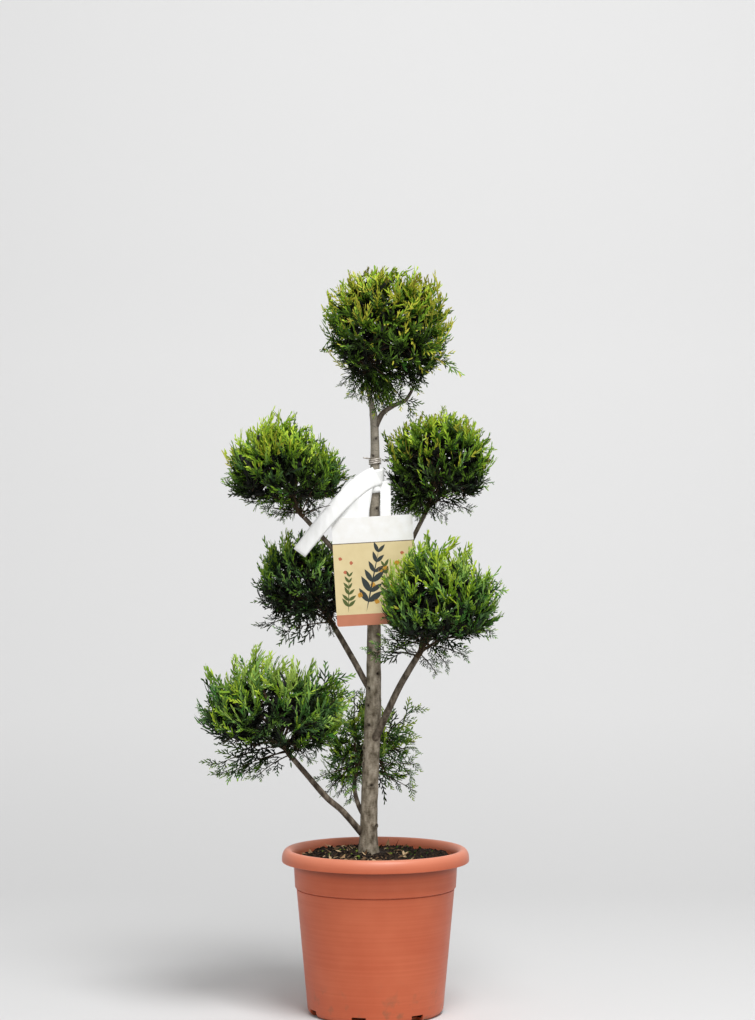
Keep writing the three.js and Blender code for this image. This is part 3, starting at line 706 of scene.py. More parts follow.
# Radii at the foot and at the end, and the points of the path, all in millimetres
BOUGHS = {
    "low_left": {
        "radii": (4.5, 3.5),
        "path": [
            [-9, 0, 230], [-19.5, -2, 240], [-44.5, -5, 268.5],
            [-64, -8, 285.5], [-92, -12, 318], [-109, -13.5, 338],
        ],
    },
    "low_back": {
        "radii": (3.6, 2.7),
        "path": [[-8.8, 0, 252], [-21, 11, 270], [-28, 24, 292], [-28, 34, 306]],
    },
    "mid_left": {
        "radii": (4.3, 3.7),
        "path": [[-3, 0, 424], [-14.6, 3, 442], [-29, 10, 468], [-53, 26, 508]],
    },
    "mid_right": {
        "radii": (4.9, 4.1),
        "path": [[-5, 0, 360], [3, -11, 372], [14.4, -18, 398], [33, -30, 438], [55, -41, 476]],
    },
    "upper_left": {
        "radii": (4.0, 3.0),
        "path": [[-2, 0, 546], [-34, -4, 590], [-59, -7, 620.5], [-95, -9, 660]],
    },
    "upper_right": {
        "radii": (3.6, 2.8),
        "path": [[-2, 0, 534], [12.7, 2, 560], [33, 6, 595], [51, 10, 634], [66, 13, 664]],
    },
    "top_right": {
        "radii": (4.2, 1.8),
        "path": [
            [-1.5, 0, 781], [5.5, 0.5, 793], [10.5, 1, 800.5],
            [24, 2, 809.5], [40, 3, 817], [52, 4, 836],
        ],
    },
}


def trunk_radius(share):
    """A root flare that dies away upwards, a shaft that tapers to the fork, and a thinner leader above it."""
    height = share * (TRUNK_PATH[-1, 2] - TRUNK_FOOT)
    flare = ROOT_FLARE * np.exp(-height / ROOT_FLARE_HEIGHT)
    to_fork = np.minimum(1, share / TRUNK_FORK_SHARE)
    to_tip = np.maximum(0, share - TRUNK_FORK_SHARE) / (1 - TRUNK_FORK_SHARE)
    shaft = TRUNK_FOOT_RADIUS + (TRUNK_FORK_RADIUS - TRUNK_FOOT_RADIUS) * to_fork**TRUNK_TAPER
    return flare + shaft + (TRUNK_TIP_RADIUS - TRUNK_FORK_RADIUS) * np.sqrt(to_tip)


def bough_radius(radii, share):
    """An even taper, with a collar that swells towards the trunk."""
    collar = BOUGH_COLLAR * np.maximum(0, 1 - share / BOUGH_COLLAR_SHARE) ** 2
    return collar + MM * (radii[0] + (radii[1] - radii[0]) * share)


print("trunk and", len(BOUGHS), "boughs, up to", round(TRUNK_PATH[-1, 2], 3), "m")

# %% Bark relief
PLATE_LENGTH = 14 * MM
FEWEST_PLATES = 4
# For each lattice: cells round the limb, cells along it for each plate, and depth as a share of the radius
PLATES = (5, 1, 0.03)
FURROWS = (17, 2, 0.008)
GRAIN = (34, 9, 0.008)
SCAR_SIZE = 3.6 * MM
SCAR_SQUASH = 1.25
SCAR_HOLLOW = 0.55
SCAR_RIM = 0.95
SCAR_RIM_WIDTH = 0.35
SCAR_RISE = 0.16
SCAR_DENT = 0.3
SCAR_HOLLOW_TINT = 1.2
SCAR_RIM_TINT = 0.25
# Scars of cut side shoots on the trunk: height in millimetres and direction, where -90 degrees faces front
TRUNK_SCARS = [
    (249, -35), (303, -80), (330, -150), (352, -152), (383, -118), (409, -132), (432, -130), (452, -55),
    (478, -100), (672, -62), (742, -120), (765, -70), (296, 60), (398, 95), (500, 70), (640, 110),
]


def bark_relief(share, turn, length, seed):
    """Shares of the radius to add: broad plates, furrows and a fine grain, from three random lattices."""
    cells = max(FEWEST_PLATES, int(length / PLATE_LENGTH))
    plates, furrows, grain = (
        lattice_noise(turn, share, across, along * cells, seed + i, closed=True)
        for i, (across, along, _) in enumerate((PLATES, FURROWS, GRAIN))
    )
    return PLATES[2] * plates - FURROWS[2] * np.abs(furrows) + GRAIN[2] * grain


def scar_pattern(scars, height, angle, radius):
    """For each point, how far it stands in a scar's hollow and how far on the rim that heals round it."""
    scar_height, scar_turn = np.array(scars, float).T
    rise = height[..., None] - scar_height * MM
    round_trip = np.angle(np.exp(1j * (angle[..., None] - np.radians(scar_turn)))) * radius[..., None]
    distance = np.hypot(SCAR_SQUASH * rise, round_trip) / SCAR_SIZE
    hollow = np.exp(-((distance / SCAR_HOLLOW) ** 2)).max(axis=-1)
    rim = np.exp(-(((distance - SCAR_RIM) / SCAR_RIM_WIDTH) ** 2)).max(axis=-1)
    return hollow, rim


TRUNK_TONES = [srgb(92, 83, 68), srgb(134, 124, 107), srgb(170, 160, 143)]
BOUGH_TONES = [srgb(62, 53, 43), srgb(96, 86, 74), srgb(134, 123, 108)]
UPPER_BARK = srgb(166, 159, 147)
UPPER_HEIGHTS = (500 * MM, 760 * MM)
SCAR_CORE = srgb(40, 31, 24)


def bark(name, tones, upper_share):
    """Smooth grey bark: mottled patches, fine wrinkles across the limb, a paler tone towards the top of the
    plant, and dark scars by an attribute."""
    finish = new_finish(name, tones[1], roughness=0.85, specular=0.25)
    patches = speckle(finish, 170, 8, stretch=(1, 1, 0.5))
    mottled = ramp(finish, patches, list(zip((0.33, 0.5, 0.68), tones)))
    # Paler towards the top of the plant.
    upper = span(finish, object_height(finish), UPPER_HEIGHTS, (0, upper_share))
    paler_above = mix(finish, upper, mottled, UPPER_BARK)
    wrinkles = speckle(finish, 330, 4, stretch=(0.7, 0.7, 2.0))
    creases = ramp(finish, wrinkles, [(0.3, srgb(150, 140, 128)), (0.48, srgb(255, 255, 255))])
    wrinkled = mix(finish, 0.5, paler_above, creases, "MULTIPLY")
    scar = add_node(finish, "ShaderNodeAttribute", {}, attribute_name="scar").outputs["Fac"]
    link_shader(finish, "Base Color", mix(finish, scar, wrinkled, SCAR_CORE))
    relief(finish, wrinkles, 0.0006, 0.5)
    return finish


# %% Trunk and boughs
TRUNK_STEPS = 420
TRUNK_SIDES = 96
BOUGH_STEPS = 150
BOUGH_SIDES = 48
TRUNK_SEED = 51
BOUGH_SEED = 60
FOOT_SINK = 6 * MM
FOOT_SPREAD = 1.12
SWELL = 0.9 * MM
SWELL_HEIGHT = 392 * MM
SWELL_REACH = 34 * MM


def limb_piece(name, path, radius, sides, seed, finish, scars=()):
    """A tube whose radius has the bark's relief. Scars are kept in a point attribute for the finish."""
    steps = len(path)
    share = np.linspace(0, 1, steps)[:, None]
    turn = np.arange(sides) / sides
    length = np.linalg.norm(np.diff(path, axis=0), axis=1).sum()
    grid_share, grid_turn = np.broadcast_arrays(share, turn)
    rough = 1 + bark_relief(grid_share, grid_turn, length, seed)
    points, faces = tubes(path[None], (radius[:, None] * rough)[None], sides)
    scar = np.zeros(len(points))
    if scars:
        axis = np.repeat(path, sides, axis=0)
        out = points[: steps * sides] - axis
        angle = np.arctan2(out[:, 1], out[:, 0])
        hollow, rim = scar_pattern(scars, axis[:, 2], angle, np.linalg.norm(out, axis=1))
        points[: steps * sides] += out * (SCAR_RISE * rim - SCAR_DENT * hollow)[:, None]
        scar[: steps * sides] = np.clip(SCAR_HOLLOW_TINT * hollow + SCAR_RIM_TINT * rim, 0, 1)
    piece = add_piece(name, points, faces, [finish])
    piece.data.attributes.new("scar", "FLOAT", "POINT").data.foreach_set("value", scar.astype(np.float32))
    return piece


trunk_bark = bark("trunk_bark", TRUNK_TONES, upper_share=0.55)
bough_bark = bark("bough_bark", BOUGH_TONES, upper_share=0.1)
limbs = {}
trunk_path = smooth_path(TRUNK_PATH, TRUNK_STEPS)
trunk_share = np.linspace(0, 1, TRUNK_STEPS)
trunk_foot = trunk_path[:1] - [[0, 0, FOOT_SINK]]
trunk_line = np.concatenate([trunk_foot, trunk_path])
trunk_swell = SWELL * np.exp(-(((trunk_path[:, 2] - SWELL_HEIGHT) / SWELL_REACH) ** 2))
trunk_radii = np.concatenate([[FOOT_SPREAD * trunk_radius(0)], trunk_radius(trunk_share) + trunk_swell])
limbs["trunk"] = (trunk_path, trunk_radius(trunk_share))
trunk = limb_piece("trunk_bark", trunk_line, trunk_radii, TRUNK_SIDES, TRUNK_SEED, trunk_bark, TRUNK_SCARS)
dress(trunk, "bark", "trunk")
for i, (side, bough) in enumerate(BOUGHS.items()):
    path = smooth_path(MM * np.array(bough["path"], float), BOUGH_STEPS)
    radius = bough_radius(bough["radii"], np.linspace(0, 1, BOUGH_STEPS))
    limbs[f"bough_{side}"] = (path, radius)
    piece = limb_piece(f"bark_{side}", path, radius, BOUGH_SIDES, BOUGH_SEED + 3 * i, bough_bark)
    dress(piece, "bark", f"bough_{side}")

# %% [markdown]
# A printed card hangs from the trunk by a white plastic strap. The card is an outline with round corners,
# filled by scaling that outline towards its middle, so rings of quads follow the edge and the card can bow a
# little. Its head is plain white. The lower part has a design of its own, of leafy sprigs and berries on
# cream, printed as thin shapes just proud of the board.

# %% Card board
CARD_WIDTH = 108 * MM
CARD_HEIGHT = 144 * MM
CARD_CORNER = 3 * MM
CARD_THICKNESS = 0.8 * MM
CARD_CENTRE = MM * np.array([-1, -17.4, 589.5])
CARD_TURN = np.radians(3.3)
CARD_BOW = 1.6 * MM
CARD_RINGS = 24
CARD_CORNER_STEPS = 8
CARD_EDGE_STEPS = 24
CARD_HEAD_SHARE = 0.765
CARD_FOOT_SHARE = 0.105
CARD_RULE_SHARE = 0.008


def card_place(across, up, proud):
    """A spot on the card, by its place across and up from the middle, bowed and turned as the card hangs."""
    bow = CARD_BOW * (across / (CARD_WIDTH / 2)) ** 2
    x = across * np.cos(CARD_TURN) - up * np.sin(CARD_TURN)
    z = across * np.sin(CARD_TURN) + up * np.cos(CARD_TURN)
    return CARD_CENTRE + np.stack(np.broadcast_arrays(x, bow - CARD_BOW / 2 - proud, z), axis=-1)


def card_outline():
    """A rectangle with round corners, as places across and up, counter-clockwise from the lower right."""
    turn = np.linspace(0, np.pi / 2, CARD_CORNER_STEPS)
    corners = []
    for i, (side, top) in enumerate([(1, -1), (1, 1), (-1, 1), (-1, -1)]):
        centre = [side * (CARD_WIDTH / 2 - CARD_CORNER), top * (CARD_HEIGHT / 2 - CARD_CORNER)]
        angle = turn + (i - 1) * np.pi / 2
        corners.append(np.stack([np.cos(angle), np.sin(angle)], axis=1) * CARD_CORNER + centre)
    loop = np.concatenate([*corners, corners[0][:1]])
    length = np.concatenate([[0], np.cumsum(np.linalg.norm(np.diff(loop, axis=0), axis=1))])
    extra = np.linspace(0, length[-1], 4 * CARD_EDGE_STEPS, endpoint=False)
    even = np.unique(np.concatenate([length[:-1], extra]))
    return np.stack([np.interp(even, length, loop[:, axis]) for axis in range(2)], axis=1)


def printed_board():
    """Smooth printed board: white head, cream field and clay-coloured foot, by the height on the card."""
    finish = new_finish("printed_board", srgb(240, 240, 238), roughness=0.38, specular=0.5)
    place = add_node(finish, "ShaderNodeUVMap", {}, uv_map="print")
    up = add_node(finish, "ShaderNodeSeparateXYZ", {"Vector": place.outputs["UV"]}).outputs["Y"]
    bands = [
        (0.0, srgb(196, 126, 96)),
        (CARD_FOOT_SHARE, srgb(226, 208, 160)),
        (CARD_HEAD_SHARE - CARD_RULE_SHARE, srgb(112, 100, 84)),
        (CARD_HEAD_SHARE, srgb(246, 246, 245)),
    ]
    print_colour = ramp(finish, up, bands, "CONSTANT")
    wash = ramp(finish, speckle(finish, 70, 4), [(0.3, srgb(246, 244, 240)), (0.7, srgb(255, 255, 255))])
    link_shader(finish, "Base Color", mix(finish, 1.0, print_colour, wash, "MULTIPLY"))
    relief(finish, speckle(finish, 900, 2), 0.0001, 0.3)
    return finish


def add_uv(piece, name, flat):
    """A UV map from one flat place for each point."""
    corner_point = np.empty(len(piece.data.loops), dtype=np.int32)
    piece.data.loops.foreach_get("vertex_index", corner_point)
    layer = piece.data.uv_layers.new(name=name)
    layer.data.foreach_set("uv", flat[corner_point].astype(np.float32).ravel())


outline = card_outline()
rings = np.linspace(0, 1, CARD_RINGS)[:, None, None] * outline
front = card_place(rings[..., 0], rings[..., 1], CARD_THICKNESS / 2)
back = card_place(rings[::-1, :, 0], rings[::-1, :, 1], -CARD_THICKNESS / 2)
card_points = np.concatenate([front, back]).reshape(-1, 3)
card_flat = np.concatenate([rings, rings[::-1]]).reshape(-1, 2) / [CARD_WIDTH, CARD_HEIGHT] + 0.5
card_faces = grid_faces(2 * CARD_RINGS, len(outline), closed=True)
card = add_piece("card_board", card_points, card_faces, [printed_board()])
add_uv(card, "print", card_flat)
weld(card)
card.data.set_sharp_from_angle(angle=SHARP_EDGE)
dress(card, "label_card", "label_card")

# %% Card design
PRINT_PROUD = CARD_THICKNESS / 2 + 0.12 * MM
LEAF_STEPS = 9
LEAF_WIDTH = 0.34
BERRY_WIDTH = 1.05
STEM_WIDTH = 0.025
SPRIG_SPAN = (0.16, 0.96)
INK_COLOURS = [(46, 54, 52), (78, 92, 40), (196, 142, 44), (188, 104, 74), (128, 116, 66)]
SLATE, OLIVE, OCHRE, CLAY, STRAW = range(5)


def leaf_shapes(feet, turns, lengths, widths):
    """Flat leaves: along each midrib the half width follows a sine, with a rounder foot than tip."""
    along = np.linspace(0, 1, LEAF_STEPS)
    half = np.sin(np.pi * along**0.8)
    edge = np.array([-0.5, 0.5])
    x = lengths[:, None, None] * along[:, None] * np.ones(2)
    y = widths[:, None, None] * half[:, None] * edge
    cos, sin = np.cos(turns)[:, None, None], np.sin(turns)[:, None, None]
    across = feet[:, 0, None, None] + x * cos - y * sin
    up = feet[:, 1, None, None] + x * sin + y * cos
    points = card_place(across, up, PRINT_PROUD).reshape(-1, 3)
    faces = grid_faces(LEAF_STEPS, 2, False) + np.arange(len(feet))[:, None, None] * 2 * LEAF_STEPS
    return points, faces.reshape(-1, 4)


def sprig(foot, lean, height, pairs, leaf, tone, seed):
    """A stem with leaves in pairs that shorten upwards, all as leaf shapes. The stem is a very slim leaf."""
    dice = np.random.default_rng(seed)
    rise = np.repeat(np.linspace(*SPRIG_SPAN, pairs), 2)
    hand = np.tile([1.0, -1.0], pairs)
    stem_way = np.array([np.cos(lean), np.sin(lean)])
    feet = MM * (np.array(foot) + rise[:, None] * height * stem_way)
    turns = lean + hand * (0.85 - 0.35 * rise) + dice.normal(0, 0.12, 2 * pairs)
    lengths = MM * leaf * (1.1 - 0.5 * rise) * dice.uniform(0.85, 1.15, 2 * pairs)
    stem_foot = MM * np.array([foot], float)
    feet = np.concatenate([stem_foot, feet])
    turns = np.concatenate([[lean], turns])
    widths = np.concatenate([[STEM_WIDTH * MM * height], LEAF_WIDTH * lengths])
    lengths = np.concatenate([[MM * height], lengths])
    points, faces = leaf_shapes(feet, turns, lengths, widths)
    return points, faces, np.full(len(faces), tone)


def berries(spots, size, tone, seed):
    """Round dots: each is a short leaf as wide as it is long."""
    dice = np.random.default_rng(seed)
    feet = MM * np.array(spots, float)
    turns = dice.uniform(0, 2 * np.pi, len(feet))
    lengths = np.full(len(feet), MM * size)
    points, faces = leaf_shapes(feet, turns, lengths, BERRY_WIDTH * lengths)
    return points, faces, np.full(len(faces), tone)


YELLOW_BERRIES = [(-4, -22), (6, -2), (16, 6), (2, -38), (20, -20), (30, 12), (-24, -30), (34, -28)]
RED_BERRIES = [(-40, 2), (-33, 12), (-44, 20), (38, 24), (46, 4)]
DESIGN = [
    sprig((-14, -54), 1.32, 84, 6, 23, SLATE, 71),
    sprig((-38, -54), 1.5, 50, 6, 13, OLIVE, 72),
    sprig((24, -54), 1.75, 62, 6, 18, OLIVE, 73),
    sprig((42, -50), 1.55, 40, 5, 11, STRAW, 74),
    berries(YELLOW_BERRIES, 7, OCHRE, 75),
    berries(RED_BERRIES, 5, CLAY, 76),
]
inks = [new_finish(f"ink_{i}", srgb(*colour), roughness=0.4) for i, colour in enumerate(INK_COLOURS)]
design_points, design_faces, design_tones = joined(DESIGN)
design = add_piece("card_print", design_points, design_faces, inks, design_tones)
dress(weld(design), "label_card")

# %% [markdown]
# The strap is one flat ribbon of white film: a loop round the trunk, a neck down behind the card and a loose
# tail that falls to the left. A gusset of the same film joins the card's head to the loop. Each stretch is a
# grid, along and across, and a Solidify modifier gives the film its thickness.

# %% Strap
STRAP_THICKNESS = 0.8 * MM
FILM_THICKNESS = 0.3 * MM
LOOP_FOOT = 693 * MM
LOOP_HEIGHT = 31 * MM
LOOP_RADIUS = 9.6 * MM
LOOP_CENTRE = MM * np.array([1, 0])
LOOP_TURNS = 72
LOOP_CREASE = 0.5 * MM
LOOP_FLARE = 0.9 * MM
LOOP_TILT = 1.6 * MM
NECK_WIDTH = 14 * MM
NECK_X = 13.5 * MM
NECK_OVERLAP = 12 * MM
NECK_BEND = 0.34
TAIL_TOP = MM * np.array([-4, -11.4, 713])
TAIL_BACK = 0.07
TAIL_RUN = 97 * MM
TAIL_FALL = 100 * MM
TAIL_CURVE = 1.3
TAIL_BOW = 14 * MM
TAIL_CURL = 1.2 * MM
TAIL_WIDTHS = MM * np.array([26, 19])
# The gusset's edges: shares of the card's width from its middle, and shares of the tail
GUSSET_HEAD = (-0.46, -0.05)
GUSSET_UNDER = (0.48, 0.12)
GUSSET_OVERLAP = 4 * MM
RIBBON_STEPS = 40
RIBBON_ACROSS = 9


def white_film():
    """White plastic film: clean, with faint creases and a soft shine."""
    finish = new_finish("white_film", srgb(244, 244, 242), roughness=0.4, specular=0.5)
    creases = speckle(finish, 130, 3, stretch=(1, 1, 0.35))
    tones = [(0.3, srgb(240, 240, 238)), (0.65, srgb(252, 252, 251))]
    link_shader(finish, "Base Color", ramp(finish, creases, tones))
    relief(finish, creases, 0.0009, 0.4)
    return finish


def tail_line(share):
    """The middle of the tail: it runs left at an even pace, falls faster as it goes and bows to the front. A
    share below 0 goes back across the loop."""
    x = TAIL_TOP[0] - TAIL_RUN * share
    y = TAIL_TOP[1] - TAIL_BOW * np.sin(share * np.pi / 2)
    z = TAIL_TOP[2] - TAIL_FALL * np.sign(share) * np.abs(share) ** TAIL_CURVE
    return np.stack(np.broadcast_arrays(x, y, z), axis=-1)


def tail_place(share, across):
    """A spot on the tail: off the middle line at right angles to its fall, with a slight curl."""
    share = share * (1 + TAIL_BACK) - TAIL_BACK
    slope = np.arctan2(TAIL_FALL * TAIL_CURVE * np.abs(share) ** (TAIL_CURVE - 1), TAIL_RUN)
    width = TAIL_WIDTHS[0] + (TAIL_WIDTHS[1] - TAIL_WIDTHS[0]) * share
    curl = TAIL_CURL * (2 * across) ** 2
    off = width * across
    aside = np.stack(np.broadcast_arrays(-np.sin(slope) * off, curl, np.cos(slope) * off), axis=-1)
    return tail_line(share) + aside


def loop_place(turn, up):
    """A spot on the loop: a band round the trunk, drawn in at its foot and creased by a slow wave."""
    crease = LOOP_CREASE * np.sin(3 * turn + 4 * up) + LOOP_FLARE * (up - 0.5)
    radius = LOOP_RADIUS + STRAP_THICKNESS / 2 + crease
    height = LOOP_FOOT + LOOP_HEIGHT * up + LOOP_TILT * np.cos(turn)
    x = LOOP_CENTRE[0] + radius * np.cos(turn)
    y = LOOP_CENTRE[1] + radius * np.sin(turn)
    return np.stack([x, y, height], axis=-1)


def neck_place(share, across):
    """A spot on the neck: straight down from the loop's side, then in behind the card."""
    card_back = CARD_CENTRE[1] + CARD_THICKNESS / 2 + GAP + STRAP_THICKNESS / 2
    loop_side = LOOP_CENTRE[1] - LOOP_RADIUS / 2
    foot = CARD_CENTRE[2] + CARD_HEIGHT / 2 - NECK_OVERLAP
    top = LOOP_FOOT + LOOP_HEIGHT / 2
    x = NECK_X + NECK_WIDTH * across
    y = card_back + (loop_side - card_back) * smoothstep(NECK_BEND, 1, share)
    z = foot + (top - foot) * share
    return np.stack(np.broadcast_arrays(x, y, z), axis=-1)


def gusset_place(share, across):
    """A spot on the gusset: straight lines from the card's head up to the lower edge of the tail."""
    along_head = CARD_WIDTH * (GUSSET_HEAD[0] + (GUSSET_HEAD[1] - GUSSET_HEAD[0]) * across)
    head = card_place(along_head, CARD_HEIGHT / 2 - GUSSET_OVERLAP, -CARD_THICKNESS)
    under = tail_place(GUSSET_UNDER[0] + (GUSSET_UNDER[1] - GUSSET_UNDER[0]) * across, -0.5 + 0 * across)
    return head * (1 - share)[..., None] + under * share[..., None]


def ribbon(place, first, last):
    """A grid of places: the first parameter along the ribbon, the second across it."""
    along = np.linspace(0, 1, RIBBON_STEPS)[:, None]
    across = np.linspace(first, last, RIBBON_ACROSS)
    points = place(*np.broadcast_arrays(along, across))
    return points.reshape(-1, 3), grid_faces(RIBBON_STEPS, RIBBON_ACROSS, closed=False)


loop_turn = np.arange(LOOP_TURNS) * 2 * np.pi / LOOP_TURNS
loop_up = np.linspace(0, 1, RIBBON_ACROSS)[:, None]
loop_points = loop_place(*np.broadcast_arrays(loop_turn, loop_up)).reshape(-1, 3)
stretches = [
    (loop_points, grid_faces(RIBBON_ACROSS, LOOP_TURNS, closed=True)),
    ribbon(tail_place, -0.5, 0.5),
    ribbon(neck_place, -0.5, 0.5),
    ribbon(gusset_place, 0, 1),
]
strap = add_piece("strap_film", *joined(stretches), [white_film()])
thickness = strap.modifiers.new("film", "SOLIDIFY")
thickness.thickness = FILM_THICKNESS
thickness.offset = 0
dress(strap, "label_strap", "label_strap")

# %% [markdown]
# Above the strap a thin wire is wound about three times round the trunk and twisted off to the left. A wire
# is the limb's recipe again: a ring carried along a path, here a helix with a short straight end.

# %% Wire tie
TIE_FOOT = 731 * MM
TIE_TURNS = 3.35
TIE_PITCH = 2.4 * MM
TIE_WIRE_RADIUS = 1.0 * MM
TIE_STEPS = 160
TIE_SIDES = 10
TIE_TAIL = 11 * MM
TIE_TAIL_STEPS = 12
TIE_START = 0.2
TIE_TILT = 0.12
TIE_FOLLOW = 0.4
TIE_LEFT = [-1, -0.25, 0.2]


def tie_path():
    """A helix round the trunk, a little askew, that ends in a straight tail to the left."""
    middle = trunk_path[np.argmin(np.abs(trunk_path[:, 2] - TIE_FOOT))]
    radius = np.interp(TIE_FOOT, trunk_path[:, 2], trunk_radius(trunk_share)) + TIE_WIRE_RADIUS + GAP
    turn = np.linspace(TIE_START, TIE_START + TIE_TURNS * 2 * np.pi, TIE_STEPS)
    x = middle[0] + radius * np.cos(turn)
    y = middle[1] + radius * np.sin(turn)
    z = TIE_FOOT + TIE_PITCH * turn / (2 * np.pi) + TIE_TILT * radius * np.cos(turn)
    coil = np.stack([x, y, z], axis=1)
    away = unit(TIE_FOLLOW * unit(coil[-1] - coil[-2]) + TIE_LEFT)
    tail = coil[-1] + np.linspace(0.05, 1, TIE_TAIL_STEPS)[:, None] * TIE_TAIL * away
    return np.concatenate([coil, tail])


def garden_wire():
    """Dull wire with a paler worn coat."""
    finish = new_finish("garden_wire", srgb(150, 140, 126), roughness=0.45)
    finish.node_tree.nodes["Principled BSDF"].inputs["Metallic"].default_value = 0.2
    tones = [(0.35, srgb(172, 162, 150)), (0.65, srgb(222, 215, 206))]
    link_shader(finish, "Base Color", ramp(finish, speckle(finish, 500, 3), tones))
    return finish


wire_line = tie_path()
wire_radii = np.full((1, len(wire_line), 1), TIE_WIRE_RADIUS)
wire = add_piece("tie_wire", *tubes(wire_line[None], wire_radii, TIE_SIDES), [garden_wire()])
dress(wire, "tie_wire", "wire_tie")

# %% [markdown]
# Now the foliage. Cypress leaves are tiny scales that hug the shoot, so what the eye sees is the shoot: slim,
# pointed and green, with side shoots by turns on either hand, all near one plane. Such a spray is made once
# from three-sided spikes of ten faces, in a few seeded versions, and then set hundreds of times. Short tufts
# and plumes of two lengths stand on the clipped surface, an open filigree on the fronds below it, and a
# coarse filling in the dark inside.

# %% Sprays
SHOOT_SHOULDER = 0.62
SHOOT_FOOT_WIDTH = 0.85
SHOOT_FLATNESS = 0.6
SHOOT_TILT = 0.24
SHOOT_CORNERS = np.radians([90, 210, 330])
SHOOT_POINTS = 7
SHOOT_FACES = np.array(
    [
        [0, 2, 1], [0, 1, 4], [0, 4, 3], [1, 2, 5], [1, 5, 4],
        [2, 0, 3], [2, 3, 5], [3, 4, 6], [4, 5, 6], [5, 3, 6],
    ]
)
STALK_STARTS = np.array([-0.02, 0.23, 0.47, 0.7])
STALK_LENGTH = 0.31
STALK_WIDTH = 0.8
SIDE_SPAN = (0.1, 0.93)
SIDE_STRAYING = 0.015
SIDE_TURN = 1.12
SIDE_CLOSING = 0.42
SIDE_TURN_JITTER = (0.85, 1.15)
SIDE_LENGTHS = ([0, 0.28, 1], [0.75, 1, 0.28])
SIDE_LENGTH_JITTER = (0.8, 1.2)
# Finer shoots on a side shoot: where they leave it, on which hand, and their share of its length
FINER_SHOOTS = [(0.3, 1, 0.58), (0.56, -1, 0.46)]
FINER_TURN = np.radians(28)
FINER_WIDTH = 0.86
OFF_STALK_SHARE = 0.4
SPRAY_SEED = 80
SPRAY_VERSIONS = 5
SPRAY_KINDS = {
    "tuft": {"laterals": 6, "spread": 40, "longest": 0.46, "width": 0.1, "finer_until": 0.42},
    "plume": {"laterals": 9, "spread": 42, "longest": 0.32, "width": 0.07, "finer_until": 0.45},
    "long_plume": {"laterals": 13, "spread": 42, "longest": 0.25, "width": 0.047, "finer_until": 0.5},
    "filigree": {"laterals": 8, "spread": 36, "longest": 0.42, "width": 0.066, "finer_until": 0.4},
    "filling": {"laterals": 4, "spread": 46, "longest": 0.46, "width": 0.2, "finer_until": 0.0},
}
TUFT, PLUME, LONG_PLUME, FILIGREE, FILLING = range(5)


def shoots(starts, turns, lengths, widths, tilts):
    """Three-sided spikes near a plane: each runs from its start at a turn from +X, keeps its width up to a
    shoulder and then tapers to its tip."""
    flat = np.cos(tilts)
    ahead = np.stack([np.cos(turns) * flat, np.sin(turns) * flat, np.sin(tilts)], axis=-1)
    aside = np.stack([-np.sin(turns), np.cos(turns), np.zeros_like(turns)], axis=-1)
    upward = np.cross(ahead, aside)
    ring = np.cos(SHOOT_CORNERS)[:, None] * aside[:, None]
    ring = ring + SHOOT_FLATNESS * np.sin(SHOOT_CORNERS)[:, None] * upward[:, None]
    ring = 0.5 * widths[:, None, None] * ring
    shoulders = starts + SHOOT_SHOULDER * lengths[:, None] * ahead
    tips = starts + lengths[:, None] * ahead
    rings = [starts[:, None] + SHOOT_FOOT_WIDTH * ring, shoulders[:, None] + ring]
    return np.concatenate([*rings, tips[:, None]], axis=1)


def spray(laterals, spread, longest, width, finer_until, seed):
    """A spray of unit length along +X: a stalk of four spikes, side shoots on alternate hands that are
    longest a third of the way up and lean closer to the stalk towards its tip, and finer shoots on the lower
    ones. With it comes how far out on the spray each shoot starts."""
    dice = np.random.default_rng(seed)
    along = np.linspace(*SIDE_SPAN, laterals) + dice.normal(0, SIDE_STRAYING, laterals)
    hand = np.resize([1.0, -1.0], laterals)
    turn = hand * np.radians(spread) * (SIDE_TURN - SIDE_CLOSING * along)
    turn = turn * dice.uniform(*SIDE_TURN_JITTER, laterals)
    length = longest * np.interp(along, *SIDE_LENGTHS) * dice.uniform(*SIDE_LENGTH_JITTER, laterals)
    side_starts = np.outer(along, [1, 0, 0])
    way = np.stack([np.cos(turn), np.sin(turn), 0 * turn], axis=1)
    bearing = along < finer_until
    each = np.ones(len(STALK_STARTS))
    stalk = (np.outer(STALK_STARTS, [1, 0, 0]), 0 * each, STALK_LENGTH * each, STALK_WIDTH * each)
    parts = [stalk, (side_starts, turn, length, np.ones(laterals))]
    for at, side, share in FINER_SHOOTS:
        finer_starts = side_starts + at * length[:, None] * way
        finer_turns = turn + side * hand * FINER_TURN
        finer = (finer_starts, finer_turns, share * length, np.full(laterals, FINER_WIDTH))
        parts.append(tuple(part[bearing] for part in finer))
    starts, turns, lengths, widths = (np.concatenate(column) for column in zip(*parts))
    tilts = dice.normal(0, SHOOT_TILT, len(starts))
    points = shoots(starts, turns, lengths, width * widths, tilts)
    return points, np.clip(starts[:, 0] + OFF_STALK_SHARE * np.abs(starts[:, 1]), 0, 1)


SPRAYS = {
    kind: [spray(**plan, seed=SPRAY_SEED + 10 * i + version) for version in range(SPRAY_VERSIONS)]
    for i, (kind, plan) in enumerate(SPRAY_KINDS.items())
}
print({kind: len(versions[0][0]) * len(SHOOT_FACES) for kind, versions in SPRAYS.items()}, "faces a spray")

# %% [markdown]
# Each pompon is a clipped mass at the end of a limb. A ball would do for a start, but these are more like
# cushions and eggs, so each mass is a superellipse with a middle, a reach on three axes and a shape: how
# square or pointed its upper and lower halves are, and how far its crown leans. Clipping is never quite even,
# so the peaks of tufts that it has missed are listed as well, and the tips of fronds that have strayed out.

